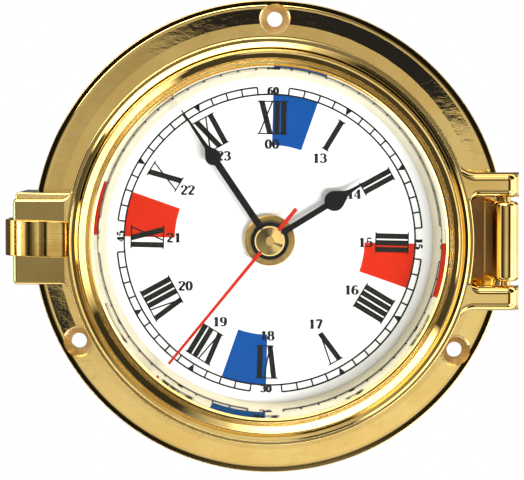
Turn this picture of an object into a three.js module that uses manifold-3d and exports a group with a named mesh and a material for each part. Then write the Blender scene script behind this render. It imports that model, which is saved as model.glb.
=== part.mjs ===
// Marine clock: a brass case with a hinged bezel, a radio sector dial and a quartz movement.
// Lengths are millimetres. The clock is drawn as it is seen from the front: X to the right,
// Y to twelve o'clock and Z out of the dial, with Z = 0 on the wall behind it.
// The last lines stand it up, so that +Z points to twelve o'clock and the dial faces -Y.
import * as THREE from 'three';
import { mergeVertices } from 'three/addons/utils/BufferGeometryUtils.js';
import Module from 'manifold-3d';

const wasm = await Module();
wasm.setup();

// Clearances
const seatGap = 0.3;
const runGap = 0.2;

// Case casting: flange, wall, floor, ledge for the dial and groove for the seal
const flangeWidth = 10;
const flangeThickness = 4;
const flangeBevelWidth = 1.5;
const flangeBevelDrop = 0.4;
const wallThickness = 3;
const wallFillet = 2;
const floorThickness = 1.8;
const floorFillet = 1.5;
const ledgeWidth = 2.5;
const rimAboveDial = 4.7;
const sealWidth = 1.2;
const sealDepth = 1;

// Three countersunk holes for the wall screws
const screwCount = 3;
const screwInset = 4.7;
const screwHoleDiameter = 3.9;
const countersinkDiameter = 7.8;
const dialTurn = THREE.MathUtils.degToRad(1.4);

// Bezel casting
const bezelRadius = 50;
const bezelOverWall = 1;
const bandHeight = 5.2;
const bandWidth = 1.3;
const bandEdge = 0.4;
const openingInset = 7.2;
const lipSlope = 1;
const lipGroove = 0.9;
const crownWidth = 1.9;
const crownFall = 0.85;
const crownEdge = 0.35;
const shoulderWidth = 1.6;
const shoulderFall = 0.8;
const shoulderDrop = 1.85;
const shoulderEdge = 0.3;
const bezelFront = 2.8;

// Lug for the catch, on the left of the case and of the bezel
const lugOverhang = 2.8;
const lugHalfHeight = 10.5;
const lugCorner = 1;
const lugFillet = 3.2;
const lugBite = 0.45;

// Hinge on the right: two arms of the bezel, a knuckle of the case and one pin
const pinInset = 2.15;
const barrelRadius = 3.2;
const armInner = 10.85;
const armOuter = 16.9;
const armFillet = 4.5;
const recessFillet = 2;
const knuckleHalfHeight = 9.75;
const hingePinRadius = 1.2;
const pinEndRound = 0.4;

// Spring catch: a brass strip let into the lug, bowed over it and down its outer side
const stripWidth = 8.5;
const stripThickness = 1;
const stripBow = 1.5;
const stripBend = 1.3;
const stripFlat = 4.5;
const stripReachDown = 13;
const stripFlare = 1.5;
const stripPinch = 0.4;
const slotDepth = 2.4;

// Glass, its gasket and the reflector ring round the dial
const glassThickness = 2;
const glassLap = 2;
const gasketHeight = 0.9;
const gasketWidth = 0.9;
const glassAboveReflector = 0.9;
const reflectorWall = 0.7;
const reflectorFootInset = 2.5;
const reflectorKneeInset = 0.8;
const reflectorTopCover = 0.3;
const reflectorKneeHeight = 7.7;
const reflectorHeight = 11.3;

// Dial, washer, nut and threaded bush
const dialThickness = 0.8;
const dialWasherRadius = 7;
const dialWasherThickness = 0.7;
const nutRadius = 6.3;
const nutThickness = 2.2;
const bushRadius = 3.9;
const bushWall = 1;
const bushFlange = 1.6;
const bushFlangeThickness = 0.8;

// Hands, seen clockwise from twelve
const handThickness = 0.45;
const handGap = 0.9;
const hourHand = { tip: 29.1, bulb: 18.7, bulbRadius: 2.5, arm: 1.5, boss: 4.3, angle: 58.5 };
const minuteHand = { tip: 38.8, bulb: 24.8, bulbRadius: 2, arm: 1.7, boss: 4.7, angle: 326 };
const secondHand = { tip: 39.2, tail: 10.3, width: 0.95, boss: 2, angle: 219.4 };
const collarHeight = 0.45;
const capRadius = 3.7;
const capHeight = 1.5;

// Movement box
const movementDepth = 15.2;
const movementCorner = 3;
const movementWall = 1.2;
const knobRadius = 4.5;
const knobThickness = 1.6;
const bridgeThickness = 0.8;
const pillarRadius = 1.4;

// Battery, size AA, across the bottom of the box
const batteryRadius = 7.1;
const batteryLength = 49.2;
const batteryEnds = 6.8;
const batteryTipLength = 1.2;
const batteryTipRadius = 2.7;
const contactThickness = 0.4;

// Wheels: teeth, and the distances between the arbors
const trainModule = 0.25;
const stepModule = 0.31;
const rotorPinion = 8;
const stepWheel = 40;
const stepPinion = 8;
const secondWheelTeeth = 48;
const secondPinion = 8;
const thirdWheelTeeth = 60;
const thirdPinion = 8;
const centreWheelTeeth = 64;
const motionModule = 0.45;
const cannonPinion = 10;
const minuteWheelTeeth = 30;
const minutePinion = 8;
const hourWheelTeeth = 32;
const wheelThickness = 0.8;
const layerGap = 0.4;
const meshPlay = 0.06;

// Arbors and tubes on the centre line
const secondArborRadius = 0.45;
const minuteTubeRadius = 1.5;
const minuteTubeBore = 0.75;
const hourTubeRadius = 2.5;
const hourTubeBore = 1.8;
const arborRadius = 0.5;

// Motor and electronics
const magnetRadius = 3;
const magnetHeight = 1.2;
const statorThickness = 0.8;
const coilRadius = 2.6;
const coilLength = 15;
const boardThickness = 0.8;
const crystalRadius = 1;
const crystalLength = 6;

// Facets
const largeSegments = 48;
const smallSegments = 24;
const arborSegments = 10;

// The box is as long as the cell and the room at its ends
const movementSide = batteryLength + batteryEnds;

// Places along Z that follow from the sizes above
const movementBack = floorThickness + knobThickness + 2 * seatGap;
const movementFront = movementBack + movementDepth;
const washerBack = movementFront + seatGap;
const dialBack = washerBack + dialWasherThickness + seatGap;
const dialFront = dialBack + dialThickness;
const rimTop = dialFront + rimAboveDial;
const bezelBack = rimTop + seatGap;
const bandFront = bezelBack + bandHeight;
const pinZ = bandFront - barrelRadius;
const reflectorTop = dialFront + reflectorHeight;
const glassBack = reflectorTop + glassAboveReflector;
const glassFront = glassBack + glassThickness;
const lipBack = glassFront + seatGap;
const nutBack = dialFront + seatGap;
const nutFront = nutBack + nutThickness;
const hourHandBack = nutFront + 2 * seatGap;
const minuteHandBack = hourHandBack + handThickness + handGap;
const secondHandBack = minuteHandBack + handThickness + handGap;
const capBack = secondHandBack + handThickness + seatGap;

// Radii that follow from the sizes above
const wallRadius = bezelRadius - bezelOverWall;
const wallInner = wallRadius - wallThickness;
const ledgeInner = wallInner - ledgeWidth;
const flangeRadius = bezelRadius + flangeWidth;
const screwCircleRadius = flangeRadius - screwInset;
const openingRadius = bezelRadius - openingInset;
const glassRadius = openingRadius + glassLap;
const rabbetRadius = glassRadius + seatGap;
const reflectorTopRadius = openingRadius + reflectorTopCover;
const reflectorKneeRadius = openingRadius - reflectorKneeInset;
const reflectorFootRadius = openingRadius - reflectorFootInset;

// Places along X of the lug's end, of the hinge pin and of the strip's flat
const lugReach = flangeRadius + lugOverhang;
const pinX = flangeRadius - pinInset;
const stripFlatEnd = bezelRadius + stripFlat;

const brass = { color: 0xc9a35a, roughness: 0.18, metalness: 1 };
const turnedBrass = { color: 0xb8944a, roughness: 0.35, metalness: 1 };
const steel = { color: 0xa9abad, roughness: 0.35, metalness: 1 };
const white = { color: 0xf4f2ec, roughness: 0.45, metalness: 0 };
const black = { color: 0x111111, roughness: 0.45, metalness: 0 };
const red = { color: 0xd63a22, roughness: 0.4, metalness: 0 };
const rubber = { color: 0x1d1d1b, roughness: 0.8, metalness: 0 };
const glass = { color: 0xf2f6f4, roughness: 0.02, metalness: 0, transparent: true, opacity: 0.25 };
const blackPlastic = { color: 0x202124, roughness: 0.5, metalness: 0 };
const paleResin = { color: 0xe8e3d2, roughness: 0.5, metalness: 0 };
const copper = { color: 0xb5622f, roughness: 0.4, metalness: 1 };
const boardGreen = { color: 0x2c6b3c, roughness: 0.5, metalness: 0 };
const magnetGrey = { color: 0x4a4a4c, roughness: 0.5, metalness: 1 };
const cellBlue = { color: 0x2b5c8a, roughness: 0.35, metalness: 0.2 };

// A closed mesh becomes a solid that can be joined and cut.
function toSolid(geometry) {
  geometry.deleteAttribute('normal');
  geometry.deleteAttribute('uv');
  const merged = mergeVertices(geometry, 1e-5);
  const index = merged.index.array;
  const triangles = [];
  for (let i = 0; i < index.length; i += 3) {
    const [a, b, c] = [index[i], index[i + 1], index[i + 2]];
    if (a !== b && b !== c && c !== a) triangles.push(a, b, c);
  }
  const mesh = new wasm.Mesh({
    numProp: 3,
    vertProperties: Float32Array.from(merged.attributes.position.array),
    triVerts: Uint32Array.from(triangles),
  });
  return new wasm.Manifold(mesh);
}

function fromSolid(solid) {
  const mesh = solid.getMesh();
  const geometry = new THREE.BufferGeometry();
  geometry.setAttribute('position', new THREE.Float32BufferAttribute(mesh.vertProperties, 3));
  geometry.setIndex(Array.from(mesh.triVerts));
  geometry.computeVertexNormals();
  return geometry;
}

function join(first, ...others) {
  return others.reduce((sum, solid) => sum.add(solid), first);
}

function cut(first, ...others) {
  return others.reduce((rest, solid) => rest.subtract(solid), first);
}

// Points [x, y] round part of a circle, both ends included. Angles are degrees.
function arc(x, y, radius, start, end, steps) {
  const points = [];
  for (let i = 0; i <= steps; i += 1) {
    const angle = THREE.MathUtils.degToRad(start + ((end - start) * i) / steps);
    points.push([x + radius * Math.cos(angle), y + radius * Math.sin(angle)]);
  }
  return points;
}

function vectors(points) {
  return points.map(([x, y]) => new THREE.Vector2(x, y));
}

function mirrorX(points) {
  return points.map(([x, y]) => [-x, y]).reverse();
}

function mirrorY(points) {
  return points.map(([x, y]) => [x, -y]).reverse();
}

// A profile [radius, z] turned about the Z axis. It ends on the axis or closes on itself.
function revolve(profile, segments = largeSegments) {
  const points = vectors(profile);
  if (THREE.ShapeUtils.area(points) < 0) points.reverse();
  const touchesAxis = profile.some(([radius]) => radius === 0);
  if (!touchesAxis) points.push(points[0].clone());
  const geometry = new THREE.LatheGeometry(points, segments);
  geometry.rotateX(Math.PI / 2);
  return geometry;
}

function ring(inner, outer, back, front, segments = largeSegments) {
  return revolve([[inner, back], [outer, back], [outer, front], [inner, front]], segments);
}

function outline(points, holes = []) {
  const shape = new THREE.Shape(vectors(points));
  shape.holes = holes.map((hole) => new THREE.Path(vectors(hole)));
  return shape;
}

// A flat piece drawn from the front, from z = back to z = front.
function plate(shape, back, front) {
  const geometry = new THREE.ExtrudeGeometry(shape, { depth: front - back, bevelEnabled: false });
  geometry.translate(0, 0, back);
  return geometry;
}

// A piece drawn from above as [x, z] and carried along Y.
function bar(points, low, high) {
  const shape = new THREE.Shape(vectors(points));
  const geometry = new THREE.ExtrudeGeometry(shape, { depth: high - low, bevelEnabled: false });
  geometry.rotateX(Math.PI / 2);
  geometry.translate(0, high, 0);
  return geometry;
}

function block(x0, x1, y0, y1, z0, z1) {
  const geometry = new THREE.BoxGeometry(x1 - x0, y1 - y0, z1 - z0);
  geometry.translate((x0 + x1) / 2, (y0 + y1) / 2, (z0 + z1) / 2);
  return geometry;
}

// A rod along Z at (x, y).
function post(radius, back, front, x = 0, y = 0, segments = arborSegments) {
  const geometry = new THREE.CylinderGeometry(radius, radius, front - back, segments);
  geometry.rotateX(Math.PI / 2);
  geometry.translate(x, y, (back + front) / 2);
  return geometry;
}

// A rod along Y at (x, z).
function rodY(radius, low, high, x, z, segments = smallSegments) {
  const geometry = new THREE.CylinderGeometry(radius, radius, high - low, segments);
  geometry.translate(x, (low + high) / 2, z);
  return geometry;
}

function roundedBox(x0, x1, y0, y1, radius, steps = 3) {
  return [
    ...arc(x1 - radius, y0 + radius, radius, -90, 0, steps),
    ...arc(x1 - radius, y1 - radius, radius, 0, 90, steps),
    ...arc(x0 + radius, y1 - radius, radius, 90, 180, steps),
    ...arc(x0 + radius, y0 + radius, radius, 180, 270, steps),
  ];
}

const clock = new THREE.Group();

function addPart(name, geometry, finish) {
  const mesh = new THREE.Mesh(geometry, new THREE.MeshStandardMaterial(finish));
  mesh.name = name;
  clock.add(mesh);
  return mesh;
}

// The fillet between a circle about the centre and a straight side at height y outside it:
// where the fillet's centre lies, and its points from the circle to the side.
function sideFillet(circle, y, fillet, outward, steps = 4) {
  const centreY = y + outward * fillet;
  const centreX = Math.sqrt((circle + fillet) ** 2 - centreY ** 2);
  const toCircle = THREE.MathUtils.radToDeg(Math.atan2(-centreY, -centreX));
  const toSide = outward > 0 ? -90 : 90;
  const start = outward > 0 ? toCircle : toCircle + 360;
  return arc(centreX, centreY, fillet, start, toSide, steps);
}

// Front view of the lug, for a ring of the given radius: filleted to it and square outside.
function lugOutline(circle) {
  const lower = mirrorY(sideFillet(circle, lugHalfHeight, lugFillet, 1)).reverse();
  const upper = sideFillet(circle, lugHalfHeight, lugFillet, 1).reverse();
  const inside = circle - lugBite;
  const halfAngle = THREE.MathUtils.radToDeg(Math.asin(lugHalfHeight / inside));
  return mirrorX([
    ...lower,
    ...arc(lugReach - lugCorner, -lugHalfHeight + lugCorner, lugCorner, -90, 0, 3),
    ...arc(lugReach - lugCorner, lugHalfHeight - lugCorner, lugCorner, 0, 90, 3),
    ...upper,
    ...arc(0, 0, inside, halfAngle, -halfAngle, 4),
  ]);
}

// Front view of the upper arm of the hinge.
function armOutline() {
  const above = sideFillet(bezelRadius, armOuter, armFillet, 1);
  const below = sideFillet(bezelRadius, armInner, recessFillet, -1).reverse();
  const scale = (rabbetRadius + 1) / bezelRadius;
  const first = above[0];
  const last = below[below.length - 1];
  return [
    ...above,
    [pinX, armOuter],
    [pinX, armInner],
    ...below,
    [last[0] * scale, last[1] * scale],
    [first[0] * scale, first[1] * scale],
  ];
}

function clockwise(degrees, distance) {
  const angle = THREE.MathUtils.degToRad(degrees) + dialTurn;
  return [distance * Math.sin(angle), distance * Math.cos(angle)];
}

function caseBody() {
  const grooveInner = wallInner + (wallThickness - sealWidth) / 2 - runGap;
  const grooveOuter = grooveInner + sealWidth + 2 * runGap;
  const foot = wallRadius + wallFillet;
  const shell = revolve([
    [0, 0],
    [flangeRadius, 0],
    [flangeRadius, flangeThickness - flangeBevelDrop],
    [flangeRadius - flangeBevelWidth, flangeThickness],
    ...arc(foot, flangeThickness + wallFillet, wallFillet, 270, 180, 3),
    [wallRadius, rimTop],
    [grooveOuter, rimTop],
    [grooveOuter, rimTop - sealDepth],
    [grooveInner, rimTop - sealDepth],
    [grooveInner, rimTop],
    [wallInner, rimTop],
    [wallInner, dialBack - seatGap],
    [ledgeInner, dialBack - seatGap],
    [ledgeInner, floorThickness + floorFillet],
    [ledgeInner - floorFillet, floorThickness],
    [0, floorThickness],
  ]);
  const lug = plate(outline(lugOutline(wallRadius)), 0, rimTop);
  lug.rotateZ(-dialTurn);
  const knuckle = bar(
    [
      [pinX - barrelRadius, 0],
      [pinX + barrelRadius, 0],
      ...arc(pinX, pinZ, barrelRadius, 0, 180, 10),
    ],
    -knuckleHalfHeight,
    knuckleHalfHeight,
  );
  const bore = rodY(hingePinRadius + runGap, -armOuter, armOuter, pinX, pinZ);
  const body = join(toSolid(shell), toSolid(lug), toSolid(knuckle));
  return fromSolid(cut(body, toSolid(bore), ...screwHoles()));
}

function screwHoles() {
  const hole = screwHoleDiameter / 2;
  const sink = countersinkDiameter / 2;
  const holes = [];
  for (let i = 0; i < screwCount; i += 1) {
    const [x, y] = clockwise((360 * i) / screwCount, screwCircleRadius);
    const tool = revolve([
      [0, -1],
      [hole, -1],
      [hole, flangeThickness - (sink - hole)],
      [sink, flangeThickness],
      [sink, flangeThickness + 1],
      [0, flangeThickness + 1],
    ], smallSegments);
    tool.translate(x, y, 0);
    holes.push(toSolid(tool));
  }
  return holes;
}

function caseSeal() {
  const inner = wallInner + (wallThickness - sealWidth) / 2;
  return ring(inner, inner + sealWidth, rimTop - sealDepth + runGap, rimTop + runGap / 2);
}

// Section of the bezel: lip over the glass, a crown that falls inwards, a lower shoulder that
// falls outwards, and the flat band.
function bezelProfile() {
  const top = lipBack + bezelFront;
  const slopeEnd = openingRadius + lipSlope;
  const crownStart = slopeEnd + lipGroove;
  const crownEnd = crownStart + crownWidth;
  const bandInner = bezelRadius - bandWidth;
  const shoulderTop = top - shoulderDrop;
  return [
    [openingRadius, lipBack],
    [openingRadius, lipBack + lipSlope / 2],
    [slopeEnd, top - crownFall - crownEdge],
    [crownStart, top - crownFall - crownEdge],
    [crownStart, top - crownFall],
    [crownEnd - crownEdge, top],
    [crownEnd, top - crownEdge],
    [crownEnd, shoulderTop - shoulderEdge],
    [bandInner - shoulderWidth, shoulderTop],
    [bandInner - shoulderEdge, shoulderTop - shoulderFall + shoulderEdge],
    [bandInner, shoulderTop - shoulderFall],
    [bandInner, bandFront],
    [bezelRadius - bandEdge, bandFront],
    [bezelRadius, bandFront - bandEdge],
    [bezelRadius, bezelBack],
    [rabbetRadius, bezelBack],
    [rabbetRadius, lipBack],
  ];
}

function bezelRing() {
  const upperArm = plate(outline(armOutline()), bezelBack, bandFront);
  const lowerArm = plate(outline(mirrorY(armOutline())), bezelBack, bandFront);
  const upperBarrel = rodY(barrelRadius, armInner, armOuter, pinX, pinZ);
  const lowerBarrel = rodY(barrelRadius, -armOuter, -armInner, pinX, pinZ);
  const lug = plate(outline(lugOutline(bezelRadius)), bezelBack, bandFront);
  const bore = rodY(hingePinRadius + runGap, -armOuter - 1, armOuter + 1, pinX, pinZ);
  const slotRight = stripRootX() + stripThickness / 2 + seatGap;
  const slot = block(
    slotRight - stripThickness - 2 * seatGap - stripBend / 2,
    slotRight,
    -stripWidth / 2 - seatGap,
    stripWidth / 2 + seatGap,
    bandFront - slotDepth,
    bandFront + 1,
  );
  const casting = join(...[revolve(bezelProfile()), upperArm, lowerArm].map(toSolid));
  const hinged = join(casting, toSolid(upperBarrel), toSolid(lowerBarrel), toSolid(lug));
  return fromSolid(cut(hinged, toSolid(bore), toSolid(slot)));
}

function hingePin() {
  const half = armOuter;
  const radius = hingePinRadius;
  const pin = revolve([
    [0, -half],
    [radius - pinEndRound, -half],
    [radius, -half + pinEndRound],
    [radius, half - pinEndRound],
    [radius - pinEndRound, half],
    [0, half],
  ], smallSegments);
  pin.rotateX(Math.PI / 2);
  pin.translate(pinX, 0, pinZ);
  return pin;
}

// The strip stands in its slot in the band, close to the shoulder's wall.
function stripRootX() {
  return -(bezelRadius - bandWidth + seatGap + stripThickness / 2);
}

// Middle line of the strip, seen from above as [x, z], from the slot to the free end.
function stripLine() {
  const half = stripThickness / 2;
  const root = stripRootX();
  const rest = bandFront + seatGap + half;
  const side = -(lugReach + seatGap + half + stripPinch);
  const peak = rest + stripBow;
  const end = bezelBack - stripReachDown;
  const points = [
    [root, bandFront - slotDepth + seatGap],
    [root, rest - stripBend],
    ...arc(root - stripBend, rest - stripBend, stripBend, 30, 60, 1),
    [-stripFlatEnd, rest + stripBow / 3],
    [-(stripFlatEnd + lugReach) / 2, peak],
    [side + 1.2, peak - 0.9],
    [side - 0.3, peak - 4],
    [side, bezelBack - 2],
    [side + stripPinch, (bezelBack + end) / 2],
    [side, end + 2],
    [side - stripFlare, end],
  ];
  return new THREE.SplineCurve(vectors(points));
}

function springCatch() {
  const steps = 26;
  const line = stripLine();
  const outer = [];
  const inner = [];
  for (let i = 0; i <= steps; i += 1) {
    const point = line.getPointAt(i / steps);
    const along = line.getTangentAt(i / steps);
    const shift = new THREE.Vector2(-along.y, along.x).multiplyScalar(stripThickness / 2);
    outer.push([point.x - shift.x, point.y - shift.y]);
    inner.push([point.x + shift.x, point.y + shift.y]);
  }
  return bar([...outer, ...inner.reverse()], -stripWidth / 2, stripWidth / 2);
}

function glassDisc() {
  const edge = 0.3;
  return revolve([
    [0, glassBack],
    [glassRadius - edge, glassBack],
    [glassRadius, glassBack + edge],
    [glassRadius, glassFront - edge],
    [glassRadius - edge, glassFront],
    [0, glassFront],
  ]);
}

function glassGasket() {
  const front = glassBack - seatGap;
  return ring(glassRadius - gasketWidth, glassRadius, front - gasketHeight, front);
}

// Two cones over a flat foot, spun from sheet.
function reflectorRing() {
  const back = dialFront + seatGap;
  const knee = dialFront + reflectorKneeHeight;
  const foot = back + reflectorWall;
  return revolve([
    [reflectorFootRadius, back],
    [reflectorKneeRadius, knee],
    [reflectorTopRadius, reflectorTop],
    [reflectorTopRadius + reflectorWall, reflectorTop],
    [reflectorKneeRadius + reflectorWall, knee],
    [reflectorFootRadius + reflectorWall, foot],
    [wallInner - seatGap, foot],
    [wallInner - seatGap, back],
  ]);
}

function threadedBush() {
  const bore = bushRadius - bushWall;
  const back = movementFront - movementWall - seatGap - bushFlangeThickness;
  const shoulder = back + bushFlangeThickness;
  return revolve([
    [bore, back],
    [bushRadius + bushFlange, back],
    [bushRadius + bushFlange, shoulder],
    [bushRadius, shoulder],
    [bushRadius, nutFront + runGap],
    [bore, nutFront + runGap],
  ], smallSegments);
}

function centreNut() {
  const chamfer = 0.3;
  const bore = bushRadius + runGap;
  return revolve([
    [bore, nutBack],
    [nutRadius, nutBack],
    [nutRadius, nutFront - chamfer],
    [nutRadius - chamfer, nutFront],
    [bore, nutFront],
  ], smallSegments);
}

// Hand with a round bulb and a hollow-sided point, drawn towards twelve.
function bulbHandOutline(hand) {
  const { tip, bulb, bulbRadius, arm, boss } = hand;
  const half = arm / 2;
  const armAngle = THREE.MathUtils.radToDeg(Math.asin(half / bulbRadius));
  const bossAngle = THREE.MathUtils.radToDeg(Math.asin(half / (boss * 0.8)));
  const neck = bulb + bulbRadius * 1.9;
  const side = arc(0, bulb, bulbRadius, -90 + armAngle, 35, 4);
  const point = [
    [bulbRadius * 0.42, bulb + bulbRadius * 1.25],
    [half * 0.55, neck],
    [0.12, tip],
  ];
  const right = [...side, ...point];
  return [
    ...arc(0, 0, boss * 0.8, 90 + bossAngle, 450 - bossAngle, 8),
    ...right,
    ...mirrorX(right),
  ];
}

function bulbHand(hand, back, bore) {
  const blade = toSolid(plate(outline(bulbHandOutline(hand)), back, back + handThickness));
  const collar = toSolid(post(hand.boss, back, back + handThickness + collarHeight, 0, 0, smallSegments));
  const hole = toSolid(post(bore, back - 1, back + 2, 0, 0, smallSegments));
  const body = cut(join(blade, collar), hole);
  return turned(fromSolid(body), hand.angle);
}

function turned(geometry, degrees) {
  geometry.rotateZ(-THREE.MathUtils.degToRad(degrees));
  return geometry;
}

function secondHandBlade() {
  const { tip, tail, width, boss } = secondHand;
  const blade = block(-width / 2, width / 2, -tail, tip, secondHandBack, secondHandBack + handThickness);
  const eye = post(boss, secondHandBack, secondHandBack + handThickness, 0, 0, smallSegments);
  const hole = post(secondArborRadius + runGap, secondHandBack - 1, capBack, 0, 0);
  const body = cut(join(toSolid(blade), toSolid(eye)), toSolid(hole));
  return turned(fromSolid(body), secondHand.angle);
}

// Turned cap: a low cone with a rounded shoulder, hollow for the end of the arbor.
function handCap() {
  const shoulder = 0.5;
  const bore = secondArborRadius + runGap;
  return revolve([
    [0, capBack + 0.6],
    [bore, capBack + 0.6],
    [bore, capBack],
    [capRadius, capBack],
    [capRadius, capBack + shoulder],
    [capRadius - 0.35, capBack + shoulder + 0.35],
    [0.5, capBack + capHeight],
    [0, capBack + capHeight],
  ], smallSegments);
}

// Wheel centres, for a movement whose hands stand in the middle of its box.
const stepAngle = THREE.MathUtils.degToRad(170);
const rotorAngle = THREE.MathUtils.degToRad(165);
const thirdAngle = THREE.MathUtils.degToRad(-10);
const minuteWheelAngle = THREE.MathUtils.degToRad(100);

function spacing(first, second, module) {
  return ((first + second) * module) / 2 + meshPlay;
}

function polar([x, y], distance, angle) {
  return [x + distance * Math.cos(angle), y + distance * Math.sin(angle)];
}

const centre = [0, 0];
const stepDistance = spacing(stepPinion, secondWheelTeeth, stepModule);
const stepCentre = polar(centre, stepDistance, stepAngle);
const rotorDistance = spacing(rotorPinion, stepWheel, trainModule);
const rotorCentre = polar(stepCentre, rotorDistance, rotorAngle);
const thirdDistance = spacing(secondPinion, thirdWheelTeeth, trainModule);
const thirdCentre = polar(centre, thirdDistance, thirdAngle);
const centreModule = (2 * (thirdDistance - meshPlay)) / (thirdPinion + centreWheelTeeth);
const motionDistance = spacing(cannonPinion, minuteWheelTeeth, motionModule);
const minuteWheelCentre = polar(centre, motionDistance, minuteWheelAngle);

// The turn that puts a gap of the second wheel against a tooth of the first.
function meshTurn(firstTeeth, firstTurn, secondTeeth, angle) {
  const tooth = (firstTeeth * (angle - firstTurn)) / (2 * Math.PI);
  return angle + Math.PI - ((0.5 - tooth) * 2 * Math.PI) / secondTeeth;
}

// Teeth with flat tips and pointed gaps, three points to a tooth.
function gear(teeth, module, turn, back, front) {
  const pitchRadius = (teeth * module) / 2;
  const tipRadius = pitchRadius + 0.8 * module;
  const rootRadius = pitchRadius - 1.35 * module;
  const pitch = (2 * Math.PI) / teeth;
  const tipShare = 0.11 * (pitchRadius / tipRadius);
  const points = [];
  for (let i = 0; i < teeth; i += 1) {
    const middle = turn + i * pitch;
    const corners = [
      [tipRadius, middle - tipShare * pitch],
      [tipRadius, middle + tipShare * pitch],
      [rootRadius, middle + pitch / 2],
    ];
    points.push(...corners.map(([radius, angle]) => polar(centre, radius, angle)));
  }
  return toSolid(plate(outline(points), back, front));
}

// Layers of the movement from back to front
const backInner = movementBack + movementWall;
const frontInner = movementFront - movementWall;
const secondWheelBack = backInner + layerGap;
const secondWheelFront = secondWheelBack + wheelThickness;
const thirdWheelBack = secondWheelFront + layerGap;
const thirdWheelFront = thirdWheelBack + wheelThickness;
const centreWheelBack = thirdWheelFront + layerGap;
const centreWheelFront = centreWheelBack + wheelThickness;
const bridgeBack = centreWheelFront + layerGap;
const bridgeFront = bridgeBack + bridgeThickness;
const minuteWheelBack = bridgeFront + 2 * layerGap;
const minuteWheelFront = minuteWheelBack + wheelThickness;
const hourWheelBack = minuteWheelFront + 2 * layerGap;
const hourWheelFront = hourWheelBack + wheelThickness;

function secondWheel() {
  const wheel = gear(secondWheelTeeth, stepModule, secondWheelTurn, secondWheelBack, secondWheelFront);
  const pinionEnd = thirdWheelFront + layerGap / 2;
  const pinion = gear(secondPinion, trainModule, 0, secondWheelFront, pinionEnd);
  const arbor = toSolid(post(secondArborRadius, backInner - movementWall / 2, capBack + 0.3));
  return fromSolid(join(wheel, pinion, arbor));
}

const rotorTurn = 0;
const stepTurn = meshTurn(rotorPinion, rotorTurn, stepWheel, rotorAngle + Math.PI);
const secondWheelTurn = meshTurn(stepPinion, 0, secondWheelTeeth, stepAngle + Math.PI);
const thirdTurn = meshTurn(secondPinion, 0, thirdWheelTeeth, thirdAngle);
const centreTurn = meshTurn(thirdPinion, 0, centreWheelTeeth, thirdAngle + Math.PI);
const minuteWheelTurn = meshTurn(cannonPinion, 0, minuteWheelTeeth, minuteWheelAngle);
const hourTurn = meshTurn(minutePinion, 0, hourWheelTeeth, minuteWheelAngle + Math.PI);

// A wheel and a pinion on one arbor that turns in the back cover and the bridge.
function arborWheel(wheel, pinion, [x, y]) {
  const arbor = post(arborRadius, backInner - movementWall / 2, bridgeBack + bridgeThickness / 2);
  const geometry = fromSolid(join(wheel, pinion, toSolid(arbor)));
  geometry.translate(x, y, 0);
  return geometry;
}

function thirdWheel() {
  const wheel = gear(thirdWheelTeeth, trainModule, thirdTurn, thirdWheelBack, thirdWheelFront);
  const pinionEnd = centreWheelFront + layerGap / 2;
  const pinion = gear(thirdPinion, centreModule, 0, thirdWheelFront, pinionEnd);
  return arborWheel(wheel, pinion, thirdCentre);
}

function stepWheelPiece() {
  const wheel = gear(stepWheel, trainModule, stepTurn, thirdWheelBack, thirdWheelFront);
  const pinion = gear(stepPinion, stepModule, 0, secondWheelBack - layerGap / 2, thirdWheelBack);
  return arborWheel(wheel, pinion, stepCentre);
}

function rotor() {
  const pinionBack = thirdWheelBack - layerGap / 2;
  const pinionEnd = thirdWheelFront + layerGap / 2;
  const pinion = gear(rotorPinion, trainModule, rotorTurn, pinionBack, pinionEnd);
  const magnetBack = backInner + layerGap / 2;
  const magnet = toSolid(post(magnetRadius, magnetBack, magnetBack + magnetHeight, 0, 0, smallSegments));
  return arborWheel(pinion, magnet, rotorCentre);
}

// The centre wheel drives the minute arbor through a friction fit, so that hands can be set.
function centreWheel() {
  const wheel = gear(centreWheelTeeth, centreModule, centreTurn, centreWheelBack, centreWheelFront);
  const bore = post(minuteTubeRadius + runGap, centreWheelBack - 1, centreWheelFront + 1,
    0, 0, smallSegments);
  return fromSolid(cut(wheel, toSolid(bore)));
}

function minuteArbor() {
  const flangeBack = centreWheelBack - layerGap / 2;
  const tube = toSolid(post(minuteTubeRadius, flangeBack, minuteHandBack + handThickness + collarHeight,
    0, 0, smallSegments));
  const pinion = gear(cannonPinion, motionModule, 0, minuteWheelBack - layerGap, minuteWheelFront + layerGap);
  const bore = toSolid(post(minuteTubeBore, flangeBack - 1, capBack, 0, 0));
  return fromSolid(cut(join(tube, pinion), bore));
}

function hourWheel() {
  const wheel = gear(hourWheelTeeth, motionModule, hourTurn, hourWheelBack, hourWheelFront);
  const top = hourHandBack + handThickness + collarHeight;
  const tube = toSolid(post(hourTubeRadius, hourWheelBack, top, 0, 0, smallSegments));
  const bore = toSolid(post(hourTubeBore, hourWheelBack - 1, top + 1, 0, 0, smallSegments));
  return fromSolid(cut(join(wheel, tube), bore));
}

function minuteWorkWheel() {
  const wheel = gear(minuteWheelTeeth, motionModule, minuteWheelTurn, minuteWheelBack, minuteWheelFront);
  const pinion = gear(minutePinion, motionModule, 0, minuteWheelFront, hourWheelFront + layerGap);
  const back = floorThickness + seatGap + knobThickness / 2;
  const arbor = toSolid(post(arborRadius, back, frontInner - runGap));
  const geometry = fromSolid(join(wheel, pinion, arbor));
  geometry.translate(...minuteWheelCentre, 0);
  return geometry;
}

// Setting knob with a ribbed edge, on the back of the movement.
function settingKnob() {
  const ribs = 18;
  const rim = [];
  for (let i = 0; i < 2 * ribs; i += 1) {
    rim.push(polar(centre, knobRadius - (i % 2) * 0.35, (i * Math.PI) / ribs));
  }
  const back = floorThickness + seatGap;
  const bore = arc(0, 0, arborRadius + runGap, 0, 330, 11);
  const disc = plate(outline(rim, [bore]), back, back + knobThickness);
  disc.translate(...minuteWheelCentre, 0);
  return disc;
}

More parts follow.
